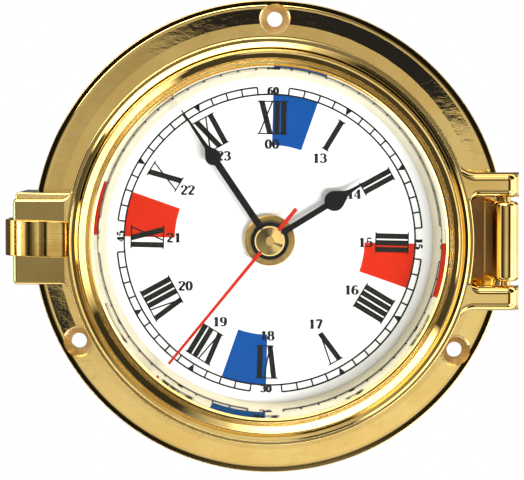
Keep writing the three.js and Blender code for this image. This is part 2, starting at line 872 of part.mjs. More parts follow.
// Battery bay: its centre line, and the wall between it and the wheels
const halfSide = movementSide / 2;
const batteryY = -halfSide + movementWall + seatGap + batteryRadius;
const batteryZ = frontInner - seatGap - batteryRadius;
const bayTop = batteryY + batteryRadius + seatGap;
const roomHalf = halfSide - movementWall;

function movementFrontHousing() {
  const shell = plate(
    outline(roundedBox(-halfSide, halfSide, -halfSide, halfSide, movementCorner)),
    backInner + seatGap,
    movementFront,
  );
  const wheelRoom = block(-roomHalf, roomHalf, bayTop + movementWall, roomHalf, backInner, frontInner);
  const bay = block(-roomHalf, roomHalf, -roomHalf, bayTop, backInner, frontInner);
  const hole = post(bushRadius + runGap, frontInner - 1, movementFront + 1, 0, 0, smallSegments);
  return fromSolid(cut(toSolid(shell), toSolid(wheelRoom), toSolid(bay), toSolid(hole)));
}

function pivotHoles(back, front) {
  const size = arborRadius + runGap;
  return [stepCentre, rotorCentre, thirdCentre, minuteWheelCentre].map(([x, y]) =>
    toSolid(post(size, back, front, x, y)));
}

function movementBackCover() {
  const lid = plate(
    outline(roundedBox(-halfSide, halfSide, -halfSide, halfSide, movementCorner)),
    movementBack,
    backInner,
  );
  const bay = block(-roomHalf, roomHalf, -roomHalf, bayTop, movementBack - 1, backInner + 1);
  const secondHole = toSolid(post(secondArborRadius + runGap, movementBack - 1, backInner + 1));
  const holes = [secondHole, ...pivotHoles(movementBack - 1, backInner + 1)];
  return fromSolid(cut(toSolid(lid), toSolid(bay), ...holes));
}

// The bridge carries the front pivots of the train on four pillars.
function movementBridge() {
  const edge = roomHalf - seatGap;
  const low = bayTop + movementWall + seatGap;
  const sheet = plate(outline(roundedBox(-edge, edge, low, edge, 1, 2)), bridgeBack, bridgeFront);
  const inset = pillarRadius + 0.5;
  const corners = [
    [-edge + inset, low + inset],
    [edge - inset, low + inset],
    [edge - inset, edge - inset],
    [-edge + inset, edge - inset],
  ];
  const pillars = corners.map(([x, y]) =>
    toSolid(post(pillarRadius, backInner + seatGap, bridgeFront, x, y)));
  const centreHole = post(minuteTubeRadius + runGap, bridgeBack - 1, bridgeFront + 1, 0, 0, smallSegments);
  const reach = coilLength / 2 + statorArm + 1;
  const right = coilX + coilRadius + seatGap;
  const window = block(-roomHalf, right, coilY - reach, coilY + reach, bridgeBack - 1, bridgeFront + 1);
  const body = cut(join(toSolid(sheet), ...pillars), toSolid(window));
  return fromSolid(cut(body, toSolid(centreHole), ...pivotHoles(bridgeBack - 1, bridgeFront + 1)));
}

// Stator: a C of sheet iron round the rotor, closed by the core of the coil.
const statorRight = rotorCentre[0] + magnetRadius + 1;
const coilX = -(roomHalf - coilRadius - 3 * seatGap);
const coilY = rotorCentre[1] + 4;
const coilZ = backInner + layerGap + coilRadius + 0.6;
const statorArm = 3;

function stator() {
  const back = backInner + layerGap;
  const low = coilY - coilLength / 2 - statorArm - 1;
  const high = coilY + coilLength / 2 + statorArm + 1;
  const left = coilX - coilRadius / 2;
  const inner = coilX + coilRadius + 1;
  const points = [
    [left, low],
    [statorRight, low],
    [statorRight, high],
    [left, high],
    [left, high - statorArm],
    [inner, high - statorArm],
    [inner, low + statorArm],
    [left, low + statorArm],
  ];
  const gap = arc(...rotorCentre, magnetRadius + 0.4, 0, 345, 23);
  return plate(outline(points, [gap]), back, back + statorThickness);
}

function coil() {
  const core = 1;
  const reach = coilLength / 2 + statorArm + 1 - seatGap;
  const low = backInner + layerGap + statorThickness + seatGap;
  const winding = toSolid(rodY(coilRadius, coilY - coilLength / 2, coilY + coilLength / 2, coilX, coilZ));
  const bars = toSolid(block(coilX - core, coilX + core, coilY - reach, coilY + reach, low, low + core));
  return fromSolid(join(winding, bars));
}

const boardLeft = thirdCentre[0] + 2;
const boardLow = 12;

function circuitBoard() {
  const back = backInner + layerGap;
  const edge = roomHalf - 2 * pillarRadius - 1 - 2 * seatGap;
  return block(boardLeft, edge, boardLow, roomHalf - seatGap, back, back + boardThickness);
}

function quartzCrystal() {
  const back = backInner + layerGap + boardThickness + seatGap;
  const x = boardLeft + 4;
  const low = boardLow + 3;
  return rodY(crystalRadius, low, low + crystalLength, x, back + crystalRadius, arborSegments);
}

function battery() {
  const half = batteryLength / 2;
  const cell = revolve([
    [0, -half],
    [batteryRadius - 0.4, -half],
    [batteryRadius, -half + 0.4],
    [batteryRadius, half - 0.4],
    [batteryRadius - 0.4, half],
    [batteryTipRadius, half],
    [batteryTipRadius, half + batteryTipLength],
    [0, half + batteryTipLength],
  ], smallSegments);
  cell.rotateY(Math.PI / 2);
  cell.translate(0, batteryY, batteryZ);
  return cell;
}

// Contact strips at the ends of the cell
function contact(side, reach) {
  const inner = side * (reach + seatGap);
  const outer = side * (reach + seatGap + contactThickness);
  const width = 6;
  return block(
    Math.min(inner, outer),
    Math.max(inner, outer),
    batteryY - width / 2,
    batteryY + width / 2,
    batteryZ - batteryRadius + 1,
    batteryZ + batteryRadius - 1,
  );
}

addPart('case_body', caseBody(), brass);
addPart('case_seal', caseSeal(), rubber);
addPart('hinge_pin', hingePin(), steel);
addPart('bezel_ring', bezelRing(), brass);
addPart('bezel_glass', glassDisc(), glass);
addPart('glass_gasket', glassGasket(), rubber);
addPart('latch_clip', springCatch(), turnedBrass);
addPart('reflector_ring', reflectorRing(), brass);
addPart('dial_plate', ring(bushRadius + runGap, wallInner - seatGap, dialBack, dialFront), white);
addPart('dial_washer', ring(bushRadius + runGap, dialWasherRadius, washerBack,
  washerBack + dialWasherThickness, smallSegments), rubber);
addPart('threaded_bush', threadedBush(), brass);
addPart('centre_nut', centreNut(), turnedBrass);
addPart('hour_hand', bulbHand(hourHand, hourHandBack, hourTubeRadius + runGap), black);
addPart('minute_hand', bulbHand(minuteHand, minuteHandBack, minuteTubeRadius + runGap), black);
addPart('second_hand', secondHandBlade(), red);
addPart('hand_cap', handCap(), turnedBrass);
addPart('movement_front_housing', movementFrontHousing(), blackPlastic);
addPart('movement_back_cover', movementBackCover(), blackPlastic);
addPart('movement_bridge', movementBridge(), paleResin);
addPart('minute_arbor', minuteArbor(), paleResin);
addPart('hour_wheel', hourWheel(), paleResin);
addPart('minute_work_wheel', minuteWorkWheel(), paleResin);
addPart('setting_knob', settingKnob(), blackPlastic);
addPart('second_wheel', secondWheel(), paleResin);
addPart('third_wheel', thirdWheel(), paleResin);
addPart('centre_wheel', centreWheel(), paleResin);
addPart('step_wheel', stepWheelPiece(), paleResin);
addPart('rotor', rotor(), magnetGrey);
addPart('stator', stator(), steel);
addPart('coil', coil(), copper);
addPart('circuit_board', circuitBoard(), boardGreen);
addPart('quartz_crystal', quartzCrystal(), steel);
addPart('battery', battery(), cellBlue);
addPart('contact_positive', contact(1, batteryLength / 2 + batteryTipLength), steel);
addPart('contact_negative', contact(-1, batteryLength / 2), steel);

// Stand the clock up: out of the dial becomes -Y, twelve o'clock becomes +Z.
clock.rotation.x = Math.PI / 2;

const marineClock = new THREE.Group();
marineClock.add(clock);

export default marineClock;
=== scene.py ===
"""Marine clock in polished brass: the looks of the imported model, in metres, dial towards -Y.

Shapes are worked out in millimetres as they are seen from the front: x to the right, up to twelve
o'clock, and depth from the wall towards the viewer. place() turns them into the row's frame.
"""
import math

import bmesh
import bpy
import numpy as np
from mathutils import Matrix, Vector
from mathutils.geometry import delaunay_2d_cdt


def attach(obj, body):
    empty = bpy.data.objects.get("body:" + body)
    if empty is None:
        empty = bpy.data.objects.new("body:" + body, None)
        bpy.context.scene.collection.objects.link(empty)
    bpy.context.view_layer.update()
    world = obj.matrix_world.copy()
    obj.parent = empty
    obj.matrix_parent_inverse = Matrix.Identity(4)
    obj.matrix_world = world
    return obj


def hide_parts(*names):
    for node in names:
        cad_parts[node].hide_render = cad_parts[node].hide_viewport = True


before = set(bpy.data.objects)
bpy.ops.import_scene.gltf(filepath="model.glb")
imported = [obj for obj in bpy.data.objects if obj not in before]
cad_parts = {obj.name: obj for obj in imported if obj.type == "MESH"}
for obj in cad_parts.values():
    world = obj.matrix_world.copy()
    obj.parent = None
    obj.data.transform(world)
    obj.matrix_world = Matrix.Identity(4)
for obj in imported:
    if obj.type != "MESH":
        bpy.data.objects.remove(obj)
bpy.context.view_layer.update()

# Sizes shared with the solids, in millimetres
DIAL_FRONT = 21.3
RIM_TOP = 26.0
BEZEL_BACK = 26.3
BAND_FRONT = 31.5
LIP_BACK = 35.8
BEZEL_TOP = 38.6
PIN_X = 57.85
BARREL = 3.2
PIN_DEPTH = BAND_FRONT - BARREL
FLANGE = 60.0
FLANGE_FRONT = 4.0
BEVEL_START = FLANGE - 1.6
SCREW_CIRCLE = 55.3
BORE = 1.95
SINK_RIM = 3.95
LUG_REACH = 62.8
LUG_HALF = 10.5
ARM_INNER = 10.85
ARM_OUTER = 16.9
# Height of the ink above the dial, and of the coloured sectors under it
INK_HEIGHT = 0.05
SECTOR_HEIGHT = 0.03
# Dial, screws and the case's lug are turned clockwise by this, in degrees
DIAL_TURN = 1.4
# Points round a turned piece, and the edge angle in degrees past which shading breaks
ROUND = 288
SHARP = 35


# Shapes in general

def place(x, up, depth):
    """Front-view millimetres to metres in the row's frame: (x, -depth, up)."""
    x, up, depth = np.broadcast_arrays(*(np.asarray(v, float) for v in (x, up, depth)))
    return np.stack([x, -depth, up], -1) * 0.001


def ways_round(count):
    """Even directions of a whole turn, as points on a circle of radius 1."""
    angle = np.linspace(0, 2 * np.pi, count, endpoint=False)
    return np.stack([np.cos(angle), np.sin(angle)], -1)


def arc(x, y, radius, start, end, steps):
    """Points of a circle about (x, y) from angle start to angle end, in degrees."""
    angle = np.radians(np.linspace(start, end, steps + 1))
    return np.stack([x + radius * np.cos(angle), y + radius * np.sin(angle)], -1)


def eased(corners, steps=6, closed=False):
    """A path through corners (a, b, radius): each corner becomes an arc that touches both of
    its sides, with one more point just before and after it, so that flats shade flat."""
    path = []
    count = len(corners)
    for i, (a, b, radius) in enumerate(corners):
        here = np.array([a, b], float)
        if radius == 0 or (not closed and i in (0, count - 1)):
            path.append(here)
            continue
        before = np.array(corners[i - 1][:2], float) - here
        after = np.array(corners[(i + 1) % count][:2], float) - here
        before /= np.linalg.norm(before)
        after /= np.linalg.norm(after)
        half = math.acos(np.clip(before @ after, -1, 1)) / 2
        reach = radius / math.tan(half)
        middle = here + (before + after) / np.linalg.norm(before + after) * radius / math.sin(half)
        first = here + before * reach - middle
        last = here + after * reach - middle
        turn = math.atan2(first[0] * last[1] - first[1] * last[0], first @ last)
        angle = np.linspace(0, turn, steps + 1)[:, None]
        side = np.array([-first[1], first[0]])
        path.append(here + before * (reach + 0.04))
        path.extend(middle + first * np.cos(angle) + side * np.sin(angle))
        path.append(here + after * (reach + 0.04))
    return np.array(path)


def smooth_path(points, steps):
    """A Catmull-Rom curve through the points, at even steps of its length."""
    p = np.asarray(points, float)
    p = np.vstack([2 * p[0] - p[1], p, 2 * p[-1] - p[-2]])
    t = np.linspace(0, len(p) - 3, 4000, endpoint=True)
    i = np.minimum(t.astype(int), len(p) - 4)
    f = (t - i)[:, None]
    a, b, c, d = p[i], p[i + 1], p[i + 2], p[i + 3]
    curve = 0.5 * (2 * b + (c - a) * f + (2 * a - 5 * b + 4 * c - d) * f**2
                   + (3 * b - a - 3 * c + d) * f**3)
    length = np.concatenate([[0], np.cumsum(np.linalg.norm(np.diff(curve, axis=0), axis=1))])
    even = np.linspace(0, length[-1], steps)
    return np.stack([np.interp(even, length, curve[:, k]) for k in (0, 1)], -1)


def sheet_faces(rows, columns, close_rows=False):
    """Squares between the points of a grid whose columns run all the way round."""
    i = np.arange(rows if close_rows else rows - 1)[:, None]
    j = np.arange(columns)[None, :]
    k, m = (i + 1) % rows, (j + 1) % columns
    quads = np.stack(np.broadcast_arrays(i * columns + j, i * columns + m,
                                         k * columns + m, k * columns + j), -1)
    return quads.reshape(-1, 4).tolist()


def finish_mesh(name, points, faces, finish, body, slot, stands_for=()):
    """Makes one piece from points and faces: doubles merged, faces outwards, edges sharp past SHARP."""
    mesh = bpy.data.meshes.new(name)
    mesh.from_pydata(np.asarray(points).reshape(-1, 3).tolist(), [], faces)
    work = bmesh.new()
    work.from_mesh(mesh)
    bmesh.ops.remove_doubles(work, verts=work.verts, dist=1e-7)
    bmesh.ops.dissolve_degenerate(work, edges=work.edges, dist=1e-8)
    bmesh.ops.recalc_face_normals(work, faces=work.faces)
    for edge in work.edges:
        edge.smooth = len(edge.link_faces) != 2 or edge.calc_face_angle(0) < math.radians(SHARP)
    for face in work.faces:
        face.smooth = True
    work.to_mesh(mesh)
    work.free()
    mesh.materials.append(finish)
    piece = bpy.data.objects.new(name, mesh)
    bpy.context.scene.collection.objects.link(piece)
    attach(piece, body)
    if stands_for:
        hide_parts(*stands_for)


def gather(name, parts, *role):
    """Several shapes, each points and faces, as one piece. Its role is what finish_mesh takes after
    the faces: finish, body, slot and the nodes that it stands for. The slot is not used."""
    points, faces, base = [], [], 0
    for more, shapes in parts:
        points.append(np.asarray(more).reshape(-1, 3))
        faces.extend([[k + base for k in shape] for shape in shapes])
        base += len(points[-1])
    finish_mesh(name, np.vstack(points), faces, *role)


def spun(path, segments=ROUND, closed=False):
    """A path of (radius, depth) spun about the dial's axis: points and faces."""
    radius, depth = np.asarray(path, float).T
    across, up = ways_round(segments).T
    grid = place(radius[:, None] * across, radius[:, None] * up, depth[:, None])
    return grid, sheet_faces(len(path), segments, closed)


def turned(name, corners, *role, segments=ROUND, steps=6, closed=True):
    """A turned piece: eased corners of (radius, depth, easing) spun about the dial's axis."""
    finish_mesh(name, *spun(eased(corners, steps, closed), segments, closed), *role)


def loft(sections):
    """Closed rings of points, all alike in number, joined one to the next, with both ends filled."""
    rings = np.stack(sections)
    count, columns = rings.shape[:2]
    faces = sheet_faces(count, columns)
    faces.append(list(range(columns)))
    faces.append([(count - 1) * columns + k for k in range(columns)][::-1])
    return rings.reshape(-1, 3), faces


def rounded_rectangle(low_a, high_a, low_b, high_b, radius, steps=6):
    """A rectangle with round corners, the same number of points whatever its size."""
    radius = max(min(radius, (high_a - low_a) / 2 - 1e-4, (high_b - low_b) / 2 - 1e-4), 1e-4)
    return eased([(low_a, low_b, radius), (high_a, low_b, radius),
                  (high_a, high_b, radius), (low_a, high_b, radius)], steps, closed=True)


def plate_rings(outline, back, front, easing, steps):
    """A closed outline of (x, up) as a plate: rings that step in along a round at both edges."""
    outline = np.asarray(outline, float)
    along = np.roll(outline, -1, 0) - np.roll(outline, 1, 0)
    along /= np.linalg.norm(along, axis=1)[:, None] + 1e-12
    inward = np.stack([-along[:, 1], along[:, 0]], -1)
    area = np.sum(outline[:, 0] * np.roll(outline[:, 1], -1) - outline[:, 1] * np.roll(outline[:, 0], -1))
    inward *= 1 if area > 0 else -1
    angle = np.radians(np.linspace(0, 90, steps + 1))
    rings = []
    for a in angle[::-1]:
        moved = outline + inward * easing * (1 - math.cos(a))
        rings.append(place(*moved.T, back + easing * (1 - math.sin(a))))
    for a in angle:
        moved = outline + inward * easing * (1 - math.cos(a))
        rings.append(place(*moved.T, front - easing * (1 - math.sin(a))))
    return rings


# Materials

class Value:
    """A number of the shader tree. Operators on it add the Math nodes that they stand for."""

    def __init__(self, finish, socket):
        self.finish = finish
        self.socket = socket

    def maths(self, operation, *others):
        return self.finish.node("Math", {"operation": operation}, (self, *others))

    def __add__(self, other): return self.maths("ADD", other)
    def __sub__(self, other): return self.maths("SUBTRACT", other)
    def __mul__(self, other): return self.maths("MULTIPLY", other)
    def __truediv__(self, other): return self.maths("DIVIDE", other)
    def __pow__(self, other): return self.maths("POWER", other)
    def __neg__(self): return self.maths("MULTIPLY", -1.0)
    def __abs__(self): return self.maths("ABSOLUTE")
    def __rsub__(self, other): return (-self) + other
    __radd__ = __add__
    __rmul__ = __mul__

    def least(self, other): return self.maths("MINIMUM", other)
    def most(self, other): return self.maths("MAXIMUM", other)

    def ramp(self, low, high):
        """0 below low, 1 above high and smooth between."""
        return self.finish.node("MapRange", {"interpolation_type": "SMOOTHSTEP"},
                                {"Value": self, "From Min": low, "From Max": high})


class Finish:
    """A material, or the world: its tree, and one method that adds any node."""

    def __init__(self, name, world=False):
        self.data = (bpy.data.worlds if world else bpy.data.materials).new(name)
        self.data.use_nodes = True
        self.tree = self.data.node_tree
        self.tree.nodes.clear()
        kind = "ShaderNodeOutputWorld" if world else "ShaderNodeOutputMaterial"
        self.output = self.tree.nodes.new(kind)

    def node(self, kind, settings=None, inputs=(), output=0):
        """Adds a node of a type, sets its settings, then its inputs by name or in order."""
        made = self.tree.nodes.new("ShaderNode" + kind)
        for key, setting in (settings or {}).items():
            if key == "stops":
                self.set_stops(made.color_ramp, setting)
            else:
                setattr(made, key, setting)
        named = inputs.items() if isinstance(inputs, dict) else enumerate(inputs)
        for key, given in named:
            if isinstance(given, Value):
                self.tree.links.new(given.socket, made.inputs[key])
            else:
                made.inputs[key].default_value = given
        return Value(self, made.outputs[output])

    def set_stops(self, ramp, stops):
        """Colour ramp stops as (place, colour)."""
        while len(ramp.elements) > len(stops):
            ramp.elements.remove(ramp.elements[-1])
        while len(ramp.elements) < len(stops):
            ramp.elements.new(1.0)
        for element, (spot, colour) in zip(ramp.elements, stops):
            element.position = spot
            element.color = (*colour, 1.0)

    def place(self):
        """Object coordinates, in metres."""
        return self.node("TexCoord", output="Object")

    def parts(self, vector):
        """The three numbers of a vector."""
        made = self.node("SeparateXYZ", inputs=(vector,))
        return [Value(self, s) for s in made.socket.node.outputs]

    def noise(self, scale, detail=3.0, stretch=None, roughness=0.5):
        """Noise on Object coordinates, scale in cells per metre, stretched along an axis if asked."""
        spot = self.place()
        if stretch:
            spot = self.node("Mapping", inputs={"Vector": spot, "Scale": stretch})
        return self.node("TexNoise", inputs={"Vector": spot, "Scale": scale, "Detail": detail,
                                             "Roughness": roughness})

    def blend(self, factor, first, second):
        """One colour turning into another with a factor."""
        return self.node("Mix", {"data_type": "RGBA"}, {0: factor, 6: first, 7: second}, output=2)

    def bump(self, height, distance, strength=1.0):
        return self.node("Bump", inputs={"Height": height, "Distance": distance, "Strength": strength})

    def surface(self, **sockets):
        """Ends the tree with a Principled shader; names are its sockets' names with _ for a space."""
        inputs = {key.replace("_", " "): given for key, given in sockets.items()}
        shader = self.node("BsdfPrincipled", inputs=inputs)
        self.tree.links.new(shader.socket, self.output.inputs[0])
        return self.data


def srgb(red, green, blue):
    """A display colour of 0 to 255 as linear light."""
    def linear(c):
        c /= 255
        return c / 12.92 if c <= 0.04045 else ((c + 0.055) / 1.055) ** 2.4
    return (linear(red), linear(green), linear(blue), 1.0)


def dimmed(colour, *shares):
    """A colour whose red, green and blue are cut to three shares."""
    return (*(part * share for part, share in zip(colour, shares)), 1.0)


def polished_brass(crown=False):
    """Lacquered cast brass: a warm mirror with faint cloudy patches and fine polishing lines. In the gap
    behind the knuckle it is rough, and dark brown as painted shade of the recess. The flange's front has a
    slight crown in its shading too, whose edges wander with the polishing, and duller, paler countersinks."""
    f = Finish("flange_brass" if crown else "polished_brass")
    cloud = f.noise(55.0, 4.0)
    hair = f.noise(1500.0, 2.0, (1.0, 1.0, 0.12))
    wear = f.noise(260.0, 5.0, roughness=0.65).ramp(0.52, 0.72)
    tone = f.blend(cloud.ramp(0.35, 0.7), srgb(238, 204, 122), srgb(226, 187, 102))
    tone = f.blend(wear * 0.35, tone, srgb(205, 164, 84))
    rough = cloud * 0.012 + hair * 0.012 + wear * 0.015 + 0.015
    x, y, z = f.parts(f.place())
    # The gap: from the bezel's ring to the barrel, between the arms and below the band's front. Its dark
    # brown is painted shade of the recess; its roughness and fine bump are the rough surface there.
    shaded_rough_gap = ((x - 0.0478).ramp(0.0, 0.0006) * (1 - (x - 0.0543).ramp(0.0, 0.0004))
           * (1 - abs(z).ramp(0.0104, 0.0109)) * (1 - (-y).ramp(0.0306, 0.0312)))
    # Painted shade: the colour in the gap turns dark brown
    tone = f.blend(shaded_rough_gap * 0.85, tone, f.blend(wear, srgb(132, 92, 44), srgb(92, 62, 28)))
    rough = rough + shaded_rough_gap * 0.32
    normal = f.bump(cloud + shaded_rough_gap * f.noise(2600.0, 4.0) * 3.0, 0.00002, 0.05)
    if crown:
        stroke = f.noise(300.0, 4.0, (1.0, 1.0, 2.2), roughness=0.6) - 0.5
        radius = (x * x + z * z) ** 0.5 + stroke * 0.0004
        crown_start, crown_width = 0.0541, 0.0038
        slope = (radius - crown_start).most(0.0).least(crown_width)
        sunk = [(x - across * 0.001) ** 2.0 + (z - up * 0.001) ** 2.0 for across, up in screw_places()]
        cone = 1 - (sunk[0].least(sunk[1]).least(sunk[2]) ** 0.5).ramp(0.00375, 0.0039)
        tone = f.blend(cone * 0.6, tone, srgb(255, 234, 196))
        rough = rough + cone * 0.25
        steady = f.node("Bump", {"invert": True},
                        {"Height": slope * 1000.0, "Distance": 0.000036, "Strength": 1.0})
        normal = f.node("Bump", inputs={"Height": cloud, "Distance": 0.00002, "Strength": 0.05,
                                        "Normal": steady})
    return f.surface(Base_Color=tone, Metallic=1.0, Roughness=rough, Normal=normal, Coat_Weight=0.35,
                     Coat_Roughness=0.02)


def lathe_brass(name, scale, patches, light, dark, rough, depth, strength):
    """Brass as it came off the lathe: fine rings about the dial's axis, scale in rings per metre, over
    soft patches of two shades."""
    f = Finish(name)
    x, _, z = f.parts(f.place())
    ring = f.node("TexNoise", {"noise_dimensions": "1D"},
                  {"W": (x * x + z * z) ** 0.5, "Scale": scale, "Detail": 3.0})
    tone = f.blend(f.noise(patches, 3.0).ramp(0.3, 0.7), light, dark)
    return f.surface(Base_Color=tone, Metallic=1.0, Roughness=ring * rough + rough,
                     Normal=f.bump(ring, depth, strength))


def sprung_brass():
    """Rolled strip: fine lines along its length, a little duller than the casting."""
    f = Finish("sprung_brass")
    lines = f.noise(2600.0, 3.0, (0.03, 0.03, 1.0))
    cloud = f.noise(120.0, 3.0)
    tone = f.blend(cloud.ramp(0.35, 0.65), srgb(236, 198, 116), srgb(214, 172, 88))
    tone = f.blend(lines.ramp(0.5, 0.75) * 0.3, tone, srgb(180, 138, 66))
    return f.surface(Base_Color=tone, Metallic=1.0, Roughness=lines * 0.12 + 0.06,
                     Normal=f.bump(lines, 0.00004, 0.25))


def clear_glass():
    """Flat clear glass: mostly see-through, with a mirror image that grows towards the edge of sight."""
    f = Finish("clear_glass")
    smear = f.noise(90.0, 4.0).ramp(0.45, 0.8)
    shine = f.node("BsdfGlossy", inputs={"Color": (1, 1, 1, 1), "Roughness": 0.02})
    clear = f.node("BsdfTransparent", inputs={"Color": (0.985, 0.99, 0.987, 1)})
    edge = f.node("Fresnel", inputs={"IOR": 1.45})
    mixed = f.node("MixShader", inputs=(edge * (smear * 0.1 + 0.2), clear, shine))
    f.tree.links.new(mixed.socket, f.output.inputs[0])
    return f.data


def dial_paint():
    """Satin white paint with a very slight orange peel."""
    f = Finish("dial_white")
    grain = f.noise(900.0, 3.0)
    cloud = f.noise(40.0, 2.0)
    tone = f.blend(cloud.ramp(0.3, 0.7), srgb(250, 250, 249), srgb(245, 246, 246))
    return f.surface(Base_Color=tone, Roughness=grain * 0.08 + 0.3,
                     Normal=f.bump(grain, 0.00002, 0.15), Specular_IOR_Level=0.35)


def ink(name, colour):
    """Printing ink: an even colour that varies a little where it lies thicker."""
    f = Finish(name)
    grain = f.noise(2400.0, 3.0)
    tone = f.blend(grain.ramp(0.3, 0.7), colour, dimmed(colour, 0.88, 0.88, 0.9))
    return f.surface(Base_Color=tone, Roughness=grain * 0.1 + 0.42, Specular_IOR_Level=0.1)


def lacquer(name, colour):
    """Lacquered sheet: smooth colour with a soft shine and a trace of dust."""
    f = Finish(name)
    dust = f.noise(1800.0, 4.0).ramp(0.6, 0.85)
    tone = f.blend(dust * 0.25, colour, (*(part + 0.08 for part in colour[:3]), 1.0))
    return f.surface(Base_Color=tone, Roughness=dust * 0.2 + 0.3, Specular_IOR_Level=0.15)


def moulded(name, colour, rough, grain_size=1400.0, depth=0.00004):
    """Moulded plastic, resin or rubber: a fine texture and a slow change of shade."""
    f = Finish(name)
    grain = f.noise(grain_size, 3.0)
    cloud = f.noise(130.0, 3.0)
    tone = f.blend(cloud.ramp(0.3, 0.7), colour, dimmed(colour, 0.78, 0.78, 0.78))
    return f.surface(Base_Color=tone, Roughness=grain * 0.15 + rough, Normal=f.bump(grain, depth, 0.3))


def sheet_metal(name, colour, rough):
    """Stamped sheet or sintered metal: lines of rolling and dull spots."""
    f = Finish(name)
    lines = f.noise(1600.0, 3.0, (0.06, 1.0, 1.0))
    spots = f.noise(500.0, 4.0).ramp(0.5, 0.75)
    tone = f.blend(spots * 0.5, colour, dimmed(colour, 0.6, 0.6, 0.62))
    return f.surface(Base_Color=tone, Metallic=1.0, Roughness=lines * 0.15 + spots * 0.1 + rough,
                     Normal=f.bump(lines, 0.00003, 0.3))


def copper_winding():
    """Enamelled wire wound round the coil's core: close ridges along its axis, darkening into the grooves
    between turns as painted shade.
    """
    f = Finish("coil_copper")
    _, _, z = f.parts(f.place())
    turns = (z * 31416.0).maths("SINE") * 0.5 + 0.5
    # Painted shade: the colour darkens into the grooves between the turns
    tone = f.blend(turns, srgb(120, 52, 22), srgb(214, 118, 62))
    return f.surface(Base_Color=tone, Metallic=0.9, Roughness=0.3, Normal=f.bump(turns, 0.00004, 0.8))


def printed_board():
    """Solder resist with copper tracks showing through as paler bands."""
    f = Finish("board_green")
    _, _, z = f.parts(f.place())
    tracks = (z * 5200.0 + f.noise(500.0, 0.0) * 9.0).maths("SINE").ramp(0.55, 0.75)
    tone = f.blend(tracks, srgb(28, 92, 46), srgb(74, 140, 74))
    return f.surface(Base_Color=tone, Roughness=0.32, Normal=f.bump(tracks, 0.00003, 0.5))


# Case

def screw_places():
    """Middles of the three screw holes, in millimetres."""
    turns = (math.radians(DIAL_TURN + turn) for turn in (0, 120, 240))
    return [SCREW_CIRCLE * np.array([math.sin(a), math.cos(a)]) for a in turns]


def sheet_in_plan(loops, keep):
    """Triangles over loops drawn in plan: each loop's sides stay edges, and keep() picks the triangles
    by their middles."""
    sides, base = [], 0
    for loop in loops:
        count = len(loop)
        sides += [(base + k, base + (k + 1) % count) for k in range(count)]
        base += count
    flat = delaunay_2d_cdt([Vector(p) for p in np.vstack(loops).tolist()], sides, [], 0, 1e-6)
    spots = np.array([tuple(v) for v in flat[0]])
    shapes = np.array(flat[2])
    return spots, shapes[keep(spots[shapes].mean(1))]


def flange_depth(radius):
    """Front of the flange: flat, then eased into the shallow bevel at its edge."""
    past = np.clip(radius - BEVEL_START, 0, None)
    return FLANGE_FRONT - 0.27 * np.where(past < 0.4, past**2 / 0.8, past - 0.2)


def sink_rim(screw, count):
    """The rim of a countersink in plan: a circle that draws in where the bevel falls. Its reach and
    the flange's depth there settle each other in a few dozen rounds."""
    way = ways_round(count)
    reach = np.full(count, SINK_RIM)
    for _ in range(40):
        radius = np.linalg.norm(screw + way * reach[:, None], axis=1)
        reach = 0.5 * reach + 0.5 * (flange_depth(radius) - FLANGE_FRONT + SINK_RIM)
    return screw + way * reach[:, None]


def from_screw(spots, screw, rim):
    """Distance of spots from a screw's middle, their angle about it, and how far its countersink's
    rim reaches at that angle."""
    distance = np.linalg.norm(spots - screw, axis=1)
    turn = np.arctan2(*(spots - screw).T[::-1]) % (2 * np.pi)
    reach = np.linalg.norm(rim - screw, axis=1)
    limit = np.interp(turn, np.linspace(0, 2 * np.pi, len(rim) + 1), np.append(reach, reach[0]))
    return distance, turn, limit


